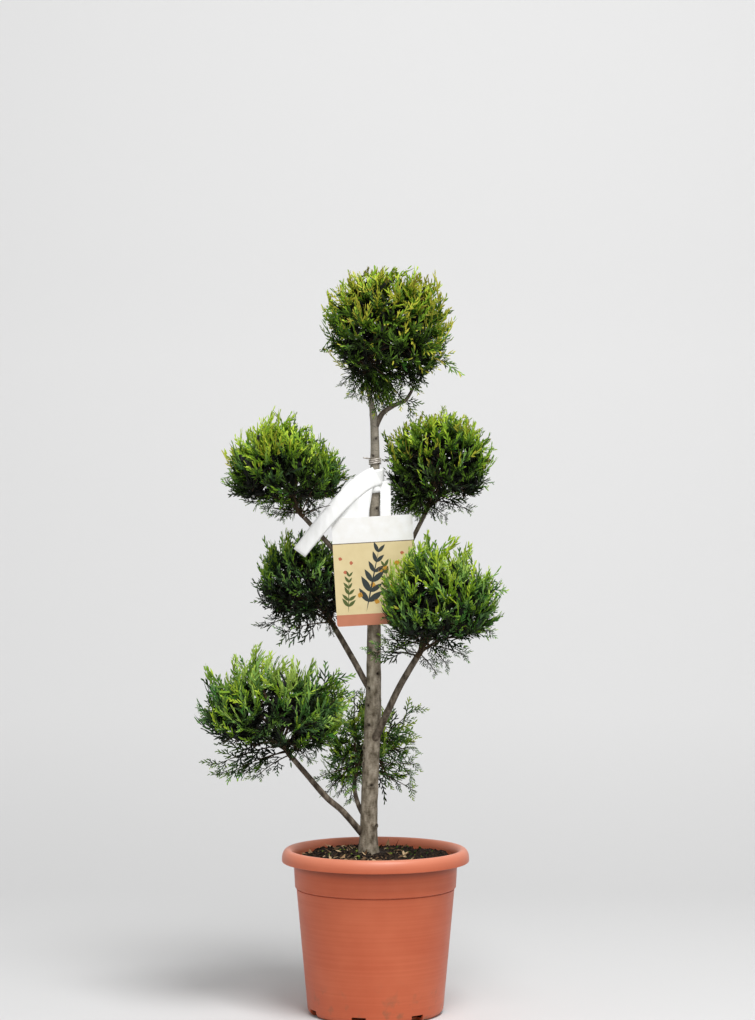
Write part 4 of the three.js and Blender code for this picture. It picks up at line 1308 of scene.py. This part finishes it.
# %% Seven masses
SKIRT = {"count": 6, "heights": (-0.5, -0.08), "roots": (0.02, 0.4)}
LOOSE = {"count": 6, "heights": (-0.7, 0.75), "roots": (0.1, 0.95)}
POMPONS = {
    "top": {
        "limb": "trunk", "centre": (16.7, 2, 900), "reach": (88, 88, 97),
        "shape": (2.8, 1.6, -0.07), "underside": (-0.3, -0.4), "drop": 0.12, "fronds": SKIRT, "seed": 1,
    },
    "upper_left": {
        "limb": "bough_upper_left", "centre": (-118, -10, 727), "reach": (86, 80, 76),
        "shape": (1.5, 2.4, -0.2), "underside": (0.3, 0.35), "drop": 0.22, "fronds": SKIRT, "seed": 2,
    },
    "upper_right": {
        "limb": "bough_upper_right", "centre": (84, 15, 729), "reach": (75, 76, 80),
        "shape": (2.1, 2.1, 0.0), "underside": (0.1, 0.45), "drop": 0.16, "fronds": SKIRT, "seed": 3,
    },
    "mid_left": {
        "limb": "bough_mid_left", "centre": (-98, 35, 573), "reach": (64, 70, 76),
        "shape": (1.8, 2.2, 0.0), "underside": (-0.2, 0.3), "drop": 0.2, "fronds": SKIRT, "seed": 4,
    },
    "mid_right": {
        "limb": "bough_mid_right", "centre": (85, -58, 546), "reach": (82, 80, 84),
        "shape": (2.1, 1.5, -0.12), "underside": (0.9, 0.35), "drop": 0.22, "fronds": SKIRT, "seed": 5,
    },
    "low_left": {
        "limb": "bough_low_left", "centre": (-138, -15, 402), "reach": (102, 88, 82),
        "shape": (1.5, 2.2, -0.08), "underside": (0.42, -0.1), "drop": 0.22, "fronds": SKIRT, "seed": 6,
    },
    "low_back": {
        "limb": "bough_low_back", "centre": (-6, 85, 341), "reach": (69, 63, 81),
        "shape": (2.0, 2.0, 0.0), "underside": (-0.3, -0.3), "drop": 0.2, "fronds": LOOSE, "seed": 7,
    },
}
# Peaks of the tufts that clipping has missed, in millimetres
TUFTS = {
    "top": [
        (26, -4, 998), (12, 16, 990), (-5, -16, 989), (37, 12, 984), (-28, 0, 982), (-66, -10, 964),
        (77, -6, 982), (85, 14, 974), (94, -8, 958), (103, 6, 940), (106, -12, 924), (-70, 14, 928),
        (-72, -12, 886), (34, -54, 922), (44, -48, 944), (-15, -56, 888), (60, -50, 912), (18, -54, 908),
        (2, -56, 922),
    ],
    "upper_left": [
        (-130, -8, 808), (-105, -20, 797), (-88, 4, 784), (-140, 12, 784), (-174, -14, 778), (-197, 0, 749),
        (-206, -18, 706), (-40, -10, 742), (-37, 8, 720), (-52, 14, 712), (-60, 10, 700), (-46, 18, 700),
        (-66, 8, 688), (-56, 20, 690), (-70, -22, 692), (-80, -26, 684),
    ],
    "upper_right": [
        (78, 10, 807), (66, 28, 803), (92, 2, 801), (105, 22, 793), (37, 14, 791), (17, 22, 772),
        (137, 8, 783), (152, 20, 765), (160, 10, 749), (149, 26, 725),
    ],
    "mid_left": [(-146, 24, 630), (-160, 44, 604), (-164, 28, 572), (-120, 36, 648)],
    "mid_right": [
        (66, -60, 634), (52, -48, 627), (108, -64, 635), (127, -50, 629), (152, -62, 592), (163, -56, 582),
        (156, -70, 548), (157, -52, 526),
    ],
    "low_left": [
        (-156, -16, 498), (-141, -30, 480), (-187, -10, 485), (-112, -22, 478), (-76, -6, 474),
        (-50, -18, 454), (-40, -8, 445), (-227, -24, 459), (-220, -6, 439), (-230, -16, 406),
        (-38, -14, 430), (-30, -20, 412), (-34, -10, 396), (-46, -16, 404),
    ],
    "low_back": [
        (-70, 70, 335), (-60, 60, 312), (-50, 66, 352), (-40, 56, 330), (-64, 64, 366), (-30, 60, 300),
        (-45, 60, 290), (-54, 66, 388), (-36, 58, 374), (-28, 70, 404), (-74, 66, 308), (-20, 64, 416),
        (-16, 60, 400), (-24, 58, 384), (-14, 62, 368), (-30, 62, 352),
    ],
}
# Tips of the fronds that stand out of the masses, in millimetres
STRAY_TIPS = {
    "top": [
        (-45, -8, 836), (-31, -22, 818), (14, 8, 805), (58, -12, 829), (101, -6, 866), (12, -16, 819),
        (28, -24, 824), (25, -6, 808), (-31, -6, 826), (5, -14, 804), (-18, -12, 815), (9, 20, 811),
        (22, 12, 812), (38, -14, 813), (53, 2, 799), (0, -14, 816),
    ],
    "upper_left": [
        (-60, -26, 676), (-75, 24, 668), (-150, -30, 672), (-118, -40, 662), (-174, -14, 680),
        (-128, 10, 655), (-142, -12, 663),
    ],
    "upper_right": [
        (11, 30, 677), (27, 22, 668), (50, -22, 662), (40, 34, 664), (128, -12, 668), (9, 24, 690),
        (18, 36, 682), (24, 14, 673), (34, 26, 667), (60, 20, 656), (96, -20, 658), (48, 10, 664),
        (56, 2, 660), (66, 24, 660), (44, 4, 672), (70, -6, 668), (80, 10, 664),
    ],
    "mid_left": [(-60, 10, 503), (-150, 10, 512), (-128, -16, 505)],
    "mid_right": [
        (9, -52, 499), (-9, -44, 481), (16, -74, 512), (81, -66, 454), (97, -50, 462), (154, -62, 512),
        (153, -70, 570), (20, -60, 484), (36, -66, 483), (26, -44, 518), (48, -80, 492), (120, -74, 478),
    ],
    "low_left": [
        (-218, -24, 328), (-201, -44, 318), (-182, -10, 316), (-160, -50, 316), (-42, -34, 430),
        (-54, -10, 450), (-226, -20, 398), (-66, -40, 366), (-84, -44, 336),
    ],
    "low_back": [
        (-86, 70, 301), (-70, 60, 280), (-52, 74, 276), (-63, 92, 320), (61, 78, 403), (51, 66, 368),
        (60, 80, 322), (54, 72, 300), (56, 72, 284), (54, 74, 352), (-29, 64, 424), (-19, 84, 421),
        (-44, 52, 300), (-62, 62, 290), (-36, 54, 270), (-34, 12, 276), (-30, 10, 292), (-38, 16, 306),
        (-26, 14, 318),
    ],
}


def mass_size(plan):
    """The middle and the reach of a mass in metres."""
    return MM * np.array(plan["centre"]), MM * np.array(plan["reach"])


def in_mass(plan, aims, share):
    """Places at a share of the way out of a mass along each aim, in units of its reach. The mass is a
    superellipse with one power for its upper half and one for its lower, where a power of 2 is round, more is
    squarer and less is more pointed. Its crown leans sideways in step with the height."""
    crown, skirt, lean = plan["shape"]
    power = np.where(aims[:, 2] > 0, crown, skirt)
    flat = np.hypot(aims[:, 0], aims[:, 1])
    edge = (flat**power + np.abs(aims[:, 2]) ** power) ** (-1 / power)
    places = (share * edge)[:, None] * aims
    places[:, 0] += lean * np.maximum(places[:, 2], 0)
    return places


print("tufts and strays:", {side: (len(TUFTS[side]), len(STRAY_TIPS[side])) for side in POMPONS})

# %% [markdown]
# A pompon grows by the rule of the solids, carried two orders further. A stem goes on from the limb. Twigs
# aim at directions spread evenly on a spiral, twiglets at a finer spiral, and sprays at one finer still. Each
# new branch leaves the nearest branch of the order before, lower down the more the two aims differ, sets out
# along it and then curves to its own tip. So everything fans out from the limb, as it does on the plant.
# Fronds are the exception: they leave the stem near its foot and arch out to the skirt or past it.

# %% Branch curves
GOLDEN_ANGLE = np.pi * (3 - np.sqrt(5))
SETTING_OUT = 0.42


def spiral_aims(count, phase):
    """Directions spread evenly over a sphere: equal steps of height, each a golden angle further round."""
    index = np.arange(count)
    height = 1 - (2 * index + 1) / count
    turn = GOLDEN_ANGLE * index + phase
    across = np.sqrt(1 - height**2)
    return np.stack([across * np.cos(turn), across * np.sin(turn), height], axis=1)


def on_curve(curve, share):
    """Places on curves that leave their start towards a control point and come in to their end from it."""
    start, control, end = curve
    share = np.asarray(share)[..., None]
    return (1 - share) ** 2 * start + 2 * share * (1 - share) * control + share**2 * end


def curve_heading(curve, share):
    """The unit direction of such curves at a share of their length."""
    start, control, end = curve
    share = np.asarray(share)[..., None]
    return unit(2 * (1 - share) * (control - start) + 2 * share * (end - control))


def arched(roots, tips, arch):
    """Curves from roots to tips whose middle is raised by a share of their length."""
    length = np.linalg.norm(tips - roots, axis=1, keepdims=True)
    return roots, (roots + tips) / 2 + arch * length * [0, 0, 1], tips


def nearest_parent(aims, parent_aims):
    """For each aim the number of the parent branch that aims most nearly the same way, and the turn to it."""
    likeness = aims @ parent_aims.T
    return likeness.argmax(axis=1), np.arccos(np.clip(likeness.max(axis=1), -1, 1))


def branch_out(parents, parent_aims, aims, tips, leaving):
    """New curves to the tips. Each leaves the parent of the nearest aim, lower the more the aims differ."""
    farthest_down, widest_turn = leaving
    nearest, turn = nearest_parent(aims, parent_aims)
    share = 1 - farthest_down * np.minimum(1, turn / widest_turn)
    chosen = tuple(part[nearest] for part in parents)
    roots = on_curve(chosen, share)
    length = np.linalg.norm(tips - roots, axis=1, keepdims=True)
    return roots, roots + SETTING_OUT * length * curve_heading(chosen, share), tips


# %% Growing rule
STEM_LEAD = 12 * MM
STEM_TOP = 0.2
STEM_TIP_RADIUS = 1.8 * MM
STEM_STEPS = 16
TWIGS = 12
TWIG_REACH = 0.56
TWIG_ROOTS = (0.02, 0.6)
TWIG_LIFT = 0.2
TWIGLETS = 84
TWIGLET_PHASE = 0.4
TWIGLET_REACH = 0.74
# How far down its parent a branch may leave, as a share of it, and the turn at which it leaves there
TWIGLET_LEAVING = (0.7, 0.7)
FAN_FLOOR = -0.52
FROND_SEED = 700
FROND_TIPS = (0.82, 0.93)
FROND_ARCH = 0.1


def on_stem(stem, share):
    """Places on the stem's line at shares of its steps."""
    step = share * (STEM_STEPS - 1)
    return np.stack([np.interp(step, np.arange(STEM_STEPS), stem[:, axis]) for axis in range(3)], axis=1)


def grow_fronds(side, plan, stem):
    """Long low side branches: each leaves the foot of the stem a golden angle on from the last, arches and
    spreads to the mass's lower rim. The strays go to tips of their own."""
    dice = np.random.default_rng(FROND_SEED + plan["seed"])
    centre, reach = mass_size(plan)
    fronds = plan["fronds"]
    turn = GOLDEN_ANGLE * np.arange(fronds["count"]) + plan["seed"]
    height = dice.uniform(*fronds["heights"], len(turn))
    flat = np.sqrt(1 - height**2)
    aims = np.stack([flat * np.cos(turn), flat * np.sin(turn), height], axis=1)
    tips = centre + reach * in_mass(plan, aims, dice.uniform(*FROND_TIPS, len(turn)))
    tips = np.concatenate([tips, MM * np.array(STRAY_TIPS[side])])
    roots = on_stem(stem, dice.uniform(*fronds["roots"], len(tips)))
    return arched(roots, tips, FROND_ARCH)


def grow(side, plan):
    """All the branches of one pompon: the stem's line and radius, and the curves of twigs, twiglets and
    fronds. Twiglets end lower than their aims say, so that what grows on them points up and out."""
    path, radius = limbs[plan["limb"]]
    centre, reach = mass_size(plan)
    heading = unit(path[-1] - path[-2])
    foot = path[-1] + GAP * heading
    top = centre + [0, 0, STEM_TOP * reach[2]]
    stem = smooth_path([foot, foot + STEM_LEAD * heading, top], STEM_STEPS)
    aims = spiral_aims(TWIGS, plan["seed"])
    roots = on_stem(stem, np.interp(aims[:, 2], [-1, 1], TWIG_ROOTS))
    twigs = arched(roots, centre + TWIG_REACH * reach * aims, TWIG_LIFT)
    finer_aims = spiral_aims(TWIGLETS, plan["seed"] + TWIGLET_PHASE)
    ends = in_mass(plan, finer_aims, TWIGLET_REACH) - [0, 0, plan["drop"]]
    ends[:, 2] = np.maximum(ends[:, 2], FAN_FLOOR)
    return {
        "stem": stem,
        "stem_radius": radius[-1],
        "twigs": twigs,
        "twiglets": branch_out(twigs, aims, finer_aims, centre + reach * ends, TWIGLET_LEAVING),
        "twiglet_aims": finer_aims,
        "fronds": grow_fronds(side, plan, stem),
    }


growth = {side: grow(side, plan) for side, plan in POMPONS.items()}
print("branches:", {side: TWIGS + TWIGLETS + len(parts["fronds"][0]) for side, parts in growth.items()})

# %% [markdown]
# Cypress greens run from nearly black inside and underneath, which is painted shade, to fresh, yellow or
# golden tips on top, whose brightness is partly painted light, and they turn cooler lower on the plant. A
# texture could paint that, but plain colours dealt out shoot by shoot give the speckled look of real foliage.
# The first six tones are a ladder from dark to light that paints light and shade, and each pompon has its own
# painted brightness and its own shares of the other tones.

# %% Leaf tones
TONES = {
    "shade": srgb(9, 12, 4),
    "deep": srgb(24, 36, 9),
    "dark_leaf": srgb(46, 68, 15),
    "leaf": srgb(80, 112, 26),
    "fresh": srgb(120, 156, 36),
    "lime": srgb(172, 196, 56),
    "gold": srgb(170, 170, 54),
    "bronze": srgb(140, 130, 46),
    "grass": srgb(58, 106, 34),
    "cool_dark": srgb(36, 54, 32),
    "cool_leaf": srgb(76, 110, 56),
    "cool_fresh": srgb(118, 156, 70),
    "cool_lime": srgb(164, 192, 88),
}
SHADE, DARK, LEAF, FRESH, LIME, GOLD, BRONZE, GRASS, COOL_DARK = (
    list(TONES).index(tone)
    for tone in ("shade", "dark_leaf", "leaf", "fresh", "lime", "gold", "bronze", "grass", "cool_dark")
)
# Each pompon's bright shifts all its tones: painted light and shade for the whole pompon.
TINTS = {
    "top": {"bright": 0.3, "gold": 0.58, "bronze": 0.18, "grass": 0.1, "cool": 0.0},
    "upper_left": {"bright": 0.35, "gold": 0.28, "bronze": 0.05, "grass": 0.15, "cool": 0.15},
    "upper_right": {"bright": 0.0, "gold": 0.35, "bronze": 0.1, "grass": 0.12, "cool": 0.08},
    "mid_left": {"bright": -0.45, "gold": 0.0, "bronze": 0.0, "grass": 0.1, "cool": 0.65},
    "mid_right": {"bright": 0.4, "gold": 0.06, "bronze": 0.02, "grass": 0.2, "cool": 0.5},
    "low_left": {"bright": 0.45, "gold": 0.06, "bronze": 0.0, "grass": 0.2, "cool": 0.6},
    "low_back": {"bright": 0.9, "gold": 0.04, "bronze": 0.0, "grass": 0.2, "cool": 0.4},
}
GILDED_SHARE = 0.7


def deal_tones(light, golden, grassy, tint, dice):
    """A tone for each shoot: brighter with more light, some of the brightest turned gold or bronze, and some
    of the middle ones a purer or a bluer green."""
    ladder = np.clip(np.rint(light), SHADE, LIME).astype(int)
    gilded = dice.random(len(light)) < GILDED_SHARE
    turned_gold = (ladder >= FRESH) & (golden < tint["gold"]) & gilded
    turned_bronze = (ladder >= LEAF) & (golden > 1 - tint["bronze"]) & gilded
    turned_grass = (ladder == LEAF) & (grassy < tint["grass"])
    cooled = (ladder >= DARK) & (grassy > 1 - tint["cool"])
    turned = [turned_gold, turned_bronze, turned_grass, cooled]
    return np.select(turned, [GOLD, BRONZE, GRASS, ladder + COOL_DARK - DARK], ladder)


leaf_finishes = [
    new_finish(f"leaf_{tone}", colour, roughness=0.6, specular=0.2) for tone, colour in TONES.items()
]
print("leaf tones:", ", ".join(TONES))

# %% [markdown]
# Light and shade come from how the sprays are dealt out. Clipping leaves many short sprays near the surface
# above, with a few spires and tufts that it has missed. Below, few are left, and a cone that rises from the
# limb's end keeps the underside open. A coarse filling in the darkest tone, a painted shade, darkens the
# inside. How bright a spray's tone is, which paints light and shade, depends on its height on the mass, and
# on a mood that neighbours share.

# %% Sprays of a mass
OUTER_SPRAYS = 640
OUTER_PHASE = 0.8
OUTER_TIPS = (0.82, 0.97)
FILLING_SPRAYS = 520
FILLING_PHASE = 1.7
FILLING_TIPS = (0.25, 0.76)
FILLING_FLOOR = -0.55
SPARSE = {"low_back": 0.14, "mid_left": 0.76, "mid_right": 0.9, "low_left": 0.82}
SPIRE_TIPS = (0.98, 1.04)
SPIRE_SHARE = 0.08
SPIRES_ABOVE = 0.25
TUFT_SPRAYS = 6
TUFT_DEPTHS = (-4 * MM, 14 * MM)
TUFT_SPREAD = 3.5 * MM
SHORT_SPRAY = 24 * MM
LONG_SPRAY = 34 * MM
SPRAY_LEAVING = (0.45, 0.35)
LOBES = 0.11
AIM_STRAYING = 0.05
WANDER = 0.15
UNDER_FULL = -0.6
UNDER_ARCH = 0.14
UPPER_SAG = 0.06
UNDERSIDE_KEPT = 0.45
BELOW_KEPT = 0.15
# The light of a spray picks its tone: painted light on top, painted shade below and inside.
LIGHT_MIDDLE = 2.4
LIGHT_RISE = 1.55
LIGHT_IN_TUFTS = 0.3
LIGHT_INSIDE = -0.3
TWIGLET_MOOD = 0.6
SPRAY_MOOD = 0.5
INSIDE_MOOD = 0.5


def off_the_curve(curves, rolls):
    """A direction at right angles to each curve, turned about it by a roll."""
    ahead = unit(curves[2] - curves[0])
    reference = FRAME_AXES[np.argmin(np.abs(ahead), axis=1)]
    level = unit(np.cross(reference, ahead))
    return np.cos(rolls)[:, None] * level + np.sin(rolls)[:, None] * np.cross(ahead, level)


def tuft_tips(peaks, centre, dice):
    """Tips of the few sprays that stand together in each tuft: near its peak, and scattered inwards of it."""
    peaks = np.repeat(MM * np.array(peaks), TUFT_SPRAYS, axis=0)
    inward = dice.uniform(*TUFT_DEPTHS, (len(peaks), 1)) * unit(centre - peaks)
    return peaks + inward + dice.normal(0, TUFT_SPREAD, peaks.shape)


def above_underside(tips, foot, slopes):
    """Whether tips lie above a cone that rises from the limb's end, by one slope on its left side, another on
    its right and an even change between them."""
    out = tips - foot
    flat = np.hypot(out[:, 0], out[:, 1])
    middle, change = (slopes[1] + slopes[0]) / 2, (slopes[1] - slopes[0]) / 2
    return out[:, 2] > middle * flat + change * out[:, 0]


def mass_aims(side, plan, dice):
    """Where the sprays of a mass aim: its tufts first, then the outer ones, then the filling. With them come
    the tips of the tufts, and which sprays are not filling."""
    centre, reach = mass_size(plan)
    outer_count = int(OUTER_SPRAYS * SPARSE.get(side, 1))
    filling_count = int(FILLING_SPRAYS * SPARSE.get(side, 1) ** 2)
    outer_aims = spiral_aims(outer_count, plan["seed"] + OUTER_PHASE)
    aims = np.concatenate([outer_aims, spiral_aims(filling_count, plan["seed"] + FILLING_PHASE)])
    aims = unit(aims + dice.normal(0, AIM_STRAYING, aims.shape))
    tufts = tuft_tips(TUFTS[side], centre, dice)
    aims = np.concatenate([unit((tufts - centre) / reach), aims])
    return aims, tufts, np.arange(len(aims)) < len(tufts) + outer_count


def mass_tips(plan, aims, tufts, outer, nearest, dice):
    """The tips of the sprays of a mass. Those on one twiglet have a factor for their reach in common, which
    makes lobes, and a few spires stand out of the upper half."""
    centre, reach = mass_size(plan)
    count = len(aims)
    lobes = 1 + LOBES * dice.uniform(-1, 1, TWIGLETS)
    share = np.where(outer, dice.uniform(*OUTER_TIPS, count), dice.uniform(*FILLING_TIPS, count))
    spires = outer & (aims[:, 2] > SPIRES_ABOVE) & (dice.random(count) < SPIRE_SHARE)
    share = np.where(spires, dice.uniform(*SPIRE_TIPS, count), share * lobes[nearest])
    tips = centre + reach * in_mass(plan, aims, share)
    tips[: len(tufts)] = tufts
    return tips


def mass_sprays(side, plan, dice):
    """The outer sprays of a mass, its tufts and its filling: their curves, planes, kinds, light and gold."""
    twiglets, twiglet_aims = growth[side]["twiglets"], growth[side]["twiglet_aims"]
    aims, tufts, outer = mass_aims(side, plan, dice)
    count, height = len(aims), aims[:, 2]
    nearest, _ = nearest_parent(aims, twiglet_aims)
    tips = mass_tips(plan, aims, tufts, outer, nearest, dice)
    wandering = unit(aims + dice.normal(0, WANDER, aims.shape))
    start, control, end = branch_out(twiglets, twiglet_aims, wandering, tips, SPRAY_LEAVING)
    length = np.linalg.norm(end - start, axis=1)
    under = smoothstep(0, UNDER_FULL, height)
    control[:, 2] += length * (UNDER_ARCH * under - UPPER_SAG * (1 - under))
    kept = dice.random(count) > (1 - UNDERSIDE_KEPT) * under
    kept &= outer | (height > FILLING_FLOOR)
    above = above_underside(tips, growth[side]["stem"][0], plan["underside"])
    kept &= above | (dice.random(count) < BELOW_KEPT)
    mood = dice.normal(0, TWIGLET_MOOD, TWIGLETS)[nearest] + dice.normal(0, SPRAY_MOOD, count)
    light = LIGHT_MIDDLE + LIGHT_RISE * height + TINTS[side]["bright"] + mood
    light[: len(tufts)] += LIGHT_IN_TUFTS
    light = np.where(outer, light, LIGHT_INSIDE + INSIDE_MOOD * mood)
    curves = tuple(part[kept] for part in (start, control, end))
    aside = off_the_curve(curves, dice.uniform(0, np.pi, kept.sum()))
    golden = (dice.random(TWIGLETS)[nearest] + dice.random(count)) / 2
    plume = np.select([length < SHORT_SPRAY, length < LONG_SPRAY], [TUFT, PLUME], LONG_PLUME)
    return curves, aside, np.where(outer, plume, FILLING)[kept], light[kept], golden[kept]


# %% [markdown]
# A frond is a flat branch with sprays by turns on either hand, like a feather. Turned by chance, many would
# show only their edge, so each has a plane of its own: near level in the skirt, and facing the front on a
# stray.

# %% Sprays of the fronds
FROND_SPRAYS = 8
FROND_SPAN = (0.2, 0.9)
FROND_END = 0.84
FROND_TURNS = (0.45, 0.8)
FROND_LONGEST = 0.5
FROND_TAPER = 0.26
FROND_JITTER = (0.8, 1.2)
FROND_SPRAY_ARCH = 0.07
END_SPRAY = 0.75
SLIM_FRONDS = {"low_back": 0.72}
SKIRT_FACING = [0, 0, 0.7]
SKIRT_ROLL = 0.6
STRAY_FACING = [0, -0.75, 0.45]
STRAY_ROLL = 0.35
# Fronds get darker tones than the mass, lighter towards their ends: painted shade under the skirt.
FROND_LIGHT = 1.7
FROND_LIGHT_RISE = 1.1
FROND_MOOD = 0.45


def frond_sprays(side, plan, dice):
    """Sprays by turns on either hand of each frond and one at its end, all near the frond's own plane and
    shorter the nearer they stand to its tip. The same five things come back as for a mass."""
    fronds = growth[side]["fronds"]
    count = len(fronds[0])
    share = np.append(np.linspace(*FROND_SPAN, FROND_SPRAYS - 1), FROND_END)
    hand = np.append(np.resize([1.0, -1.0], FROND_SPRAYS - 1), 0)
    curve = tuple(part[:, None] for part in fronds)
    start, along = on_curve(curve, share[None]), curve_heading(curve, share[None])
    in_skirt = np.arange(count)[:, None, None] < plan["fronds"]["count"]
    facing = np.where(in_skirt, SKIRT_FACING, STRAY_FACING)
    roll = np.where(in_skirt, SKIRT_ROLL, STRAY_ROLL)
    overhead = unit(facing + roll * dice.normal(0, 1, (count, 1, 3)))
    sideways = unit(np.cross(along, overhead))
    turn = (hand * dice.uniform(*FROND_TURNS, (count, FROND_SPRAYS)))[..., None]
    frond_length = SLIM_FRONDS.get(side, 1) * np.linalg.norm(fronds[2] - fronds[0], axis=1)[:, None, None]
    taper = np.where(hand == 0, END_SPRAY, 1) * (FROND_LONGEST - FROND_TAPER * share)
    length = frond_length * taper[:, None] * dice.uniform(*FROND_JITTER, (count, FROND_SPRAYS, 1))
    end = start + length * (np.cos(turn) * along + np.sin(turn) * sideways)
    control = (start + end) / 2 + FROND_SPRAY_ARCH * length * overhead
    curves = tuple(part.reshape(-1, 3) for part in (start, control, end))
    ahead = unit(curves[2] - curves[0])
    aside = (np.cos(turn) * sideways - np.sin(turn) * along).reshape(-1, 3)
    aside = unit(aside - (aside * ahead).sum(axis=1, keepdims=True) * ahead)
    light = np.tile(FROND_LIGHT + FROND_LIGHT_RISE * share, count) + TINTS[side]["bright"]
    light = light + dice.normal(0, FROND_MOOD, len(aside))
    return curves, aside, np.full(len(aside), FILIGREE), light, dice.random(len(aside))


# %% [markdown]
# Planting puts a spray on every curve and bends it to the curve's own arch. Blender's instances would save
# memory, but they could not bend, and the library wants plain meshes. A spray that would run into a limb, the
# card or the strap is left out. The shoots of a spray brighten towards its tip, where gold and bronze show.

# %% Planting
PLANTING_SEED = 900
PROBES = (0.4, 0.6, 0.8, 1)
CLEARANCE = 1.2 * MM
FRONT_ROOM = 5 * MM
LIMB_STRIDE = 4
TAIL_SPOTS = 30
LOOP_SPOTS = (0.2, 0.5, 0.8)
TIP_FADE = 3.0
INSIDE_FADE = 0.4
FADE_MIDDLE = 0.6
SHOOT_MOOD = 0.3
GILDED_FROM = 0.55
NOT_GILDED = 0.5


def near_a_limb(points):
    """Whether any of a spray's places comes too near a limb, the card or the strap. points is (n, k, 3)."""
    tail = tail_line(np.linspace(0, 1, TAIL_SPOTS))
    loop = np.array([[*LOOP_CENTRE, LOOP_FOOT + up * LOOP_HEIGHT] for up in LOOP_SPOTS])
    spots = [path[::LIMB_STRIDE] for path, _ in limbs.values()] + [tail, loop]
    sizes = [radius[::LIMB_STRIDE] for _, radius in limbs.values()]
    sizes += [np.full(len(tail), TAIL_WIDTHS.max() / 2), np.full(len(loop), LOOP_RADIUS + STRAP_THICKNESS)]
    spots, sizes = np.concatenate(spots), np.concatenate(sizes)
    distance = np.linalg.norm(points[:, :, None] - spots, axis=-1) - sizes
    beside = points - CARD_CENTRE
    on_card = np.abs(beside) < [CARD_WIDTH / 2 + CLEARANCE, FRONT_ROOM, CARD_HEIGHT / 2 + CLEARANCE]
    return (distance.min(axis=(1, 2)) < CLEARANCE) | on_card.all(axis=-1).any(axis=1)


def set_sprays(curves, aside, choice):
    """Sprays bent along their curves: a place x along the spray goes to share x of the curve, and what lies
    off the spray's stalk goes off the curve by the same share of the spray's length, in the plane of aside.
    The points and faces come with the number of each shoot's spray and how far out on it the shoot starts."""
    start, _, end = curves
    length = np.linalg.norm(end - start, axis=1)
    upward = np.cross(unit(end - start), aside)
    versions = [version for kind_versions in SPRAYS.values() for version in kind_versions]
    parts = []
    for version, (shape, share) in enumerate(versions):
        mine = np.flatnonzero(choice == version)
        flat = shape.reshape(-1, 3)
        curve = tuple(part[mine][:, None] for part in curves)
        off = flat[:, 1, None] * aside[mine][:, None] + flat[:, 2, None] * upward[mine][:, None]
        points = on_curve(curve, flat[None, :, 0]) + length[mine][:, None, None] * off
        owner = np.repeat(mine, len(shape))
        faces = SHOOT_FACES + SHOOT_POINTS * np.arange(len(owner))[:, None, None]
        parts.append((points.reshape(-1, 3), faces.reshape(-1, 3), owner, np.tile(share, len(mine))))
    return joined(parts)


def plant_pompon(side, plan):
    """The sprays of one pompon as points, faces and tones, without those that run into a limb or the card."""
    dice = np.random.default_rng(PLANTING_SEED + plan["seed"])
    groups = [mass_sprays(side, plan, dice), frond_sprays(side, plan, dice)]
    curves = tuple(np.concatenate(parts) for parts in zip(*(group[0] for group in groups)))
    sprays = [np.concatenate([group[i] for group in groups]) for i in range(1, 5)]
    clear = ~near_a_limb(np.stack([on_curve(curves, share) for share in PROBES], axis=1))
    curves = tuple(part[clear] for part in curves)
    aside, kind, light, golden = (part[clear] for part in sprays)
    choice = dice.integers(0, SPRAY_VERSIONS, len(kind)) + SPRAY_VERSIONS * kind
    points, faces, owner, share = set_sprays(curves, aside, choice)
    grassy = dice.random(len(kind))
    # Shoots are dealt brighter tones towards a spray's tip and darker towards its foot: painted light and
    # shade.
    fade = np.where(kind == FILLING, INSIDE_FADE, TIP_FADE)[owner]
    light = light[owner] + fade * (share - FADE_MIDDLE) + dice.normal(0, SHOOT_MOOD, len(owner))
    golden = np.where((share > GILDED_FROM) & (kind[owner] != FILIGREE), golden[owner], NOT_GILDED)
    tone = deal_tones(light, golden, grassy[owner], TINTS[side], dice)
    return points, faces, np.repeat(tone, len(SHOOT_FACES))


for side, plan in POMPONS.items():
    points, faces, tone = plant_pompon(side, plan)
    leaves = add_piece(f"leaves_{side}", points, faces, leaf_finishes, tone, smooth=False)
    dress(leaves, "foliage", f"pompon_{side}")

# %% [markdown]
# Inside each pompon the twigs show as thin brown lines. They are the same curves that carry the sprays, each
# made a tube that tapers, and all of one pompon's are joined in one piece.

# %% Twigs
STEM_SIDES = 12
# Radius at the foot and at the tip in millimetres, and the number of sides
TWIG_SIZES = {"twigs": (2.1, 1.2, 7), "twiglets": (1.1, 0.45, 4), "fronds": (1.05, 0.4, 4)}
TWIG_STEPS = 9


def twig_bark():
    """Thin dark brown bark."""
    finish = new_finish("twig_bark", srgb(66, 52, 36), roughness=0.85, specular=0.2)
    tones = [(0.35, srgb(46, 37, 26)), (0.65, srgb(88, 70, 50))]
    link_shader(finish, "Base Color", ramp(finish, speckle(finish, 350, 4), tones))
    return finish


def tapered(curves, first, last, sides):
    """Tubes along curves, from the first radius to the last."""
    share = np.linspace(0, 1, TWIG_STEPS)
    paths = on_curve(tuple(part[:, None] for part in curves), share[None])
    radius = MM * (first + (last - first) * share)
    return tubes(paths, np.broadcast_to(radius[:, None], (len(paths), TWIG_STEPS, 1)), sides)


twig_finish = twig_bark()
for side, branches in growth.items():
    stem_radii = np.linspace(branches["stem_radius"], STEM_TIP_RADIUS, STEM_STEPS)[None, :, None]
    parts = [tubes(branches["stem"][None], stem_radii, STEM_SIDES)]
    parts += [tapered(branches[order], *sizes) for order, sizes in TWIG_SIZES.items()]
    dress(add_piece(f"twigs_{side}", *joined(parts), [twig_finish]), "bark")
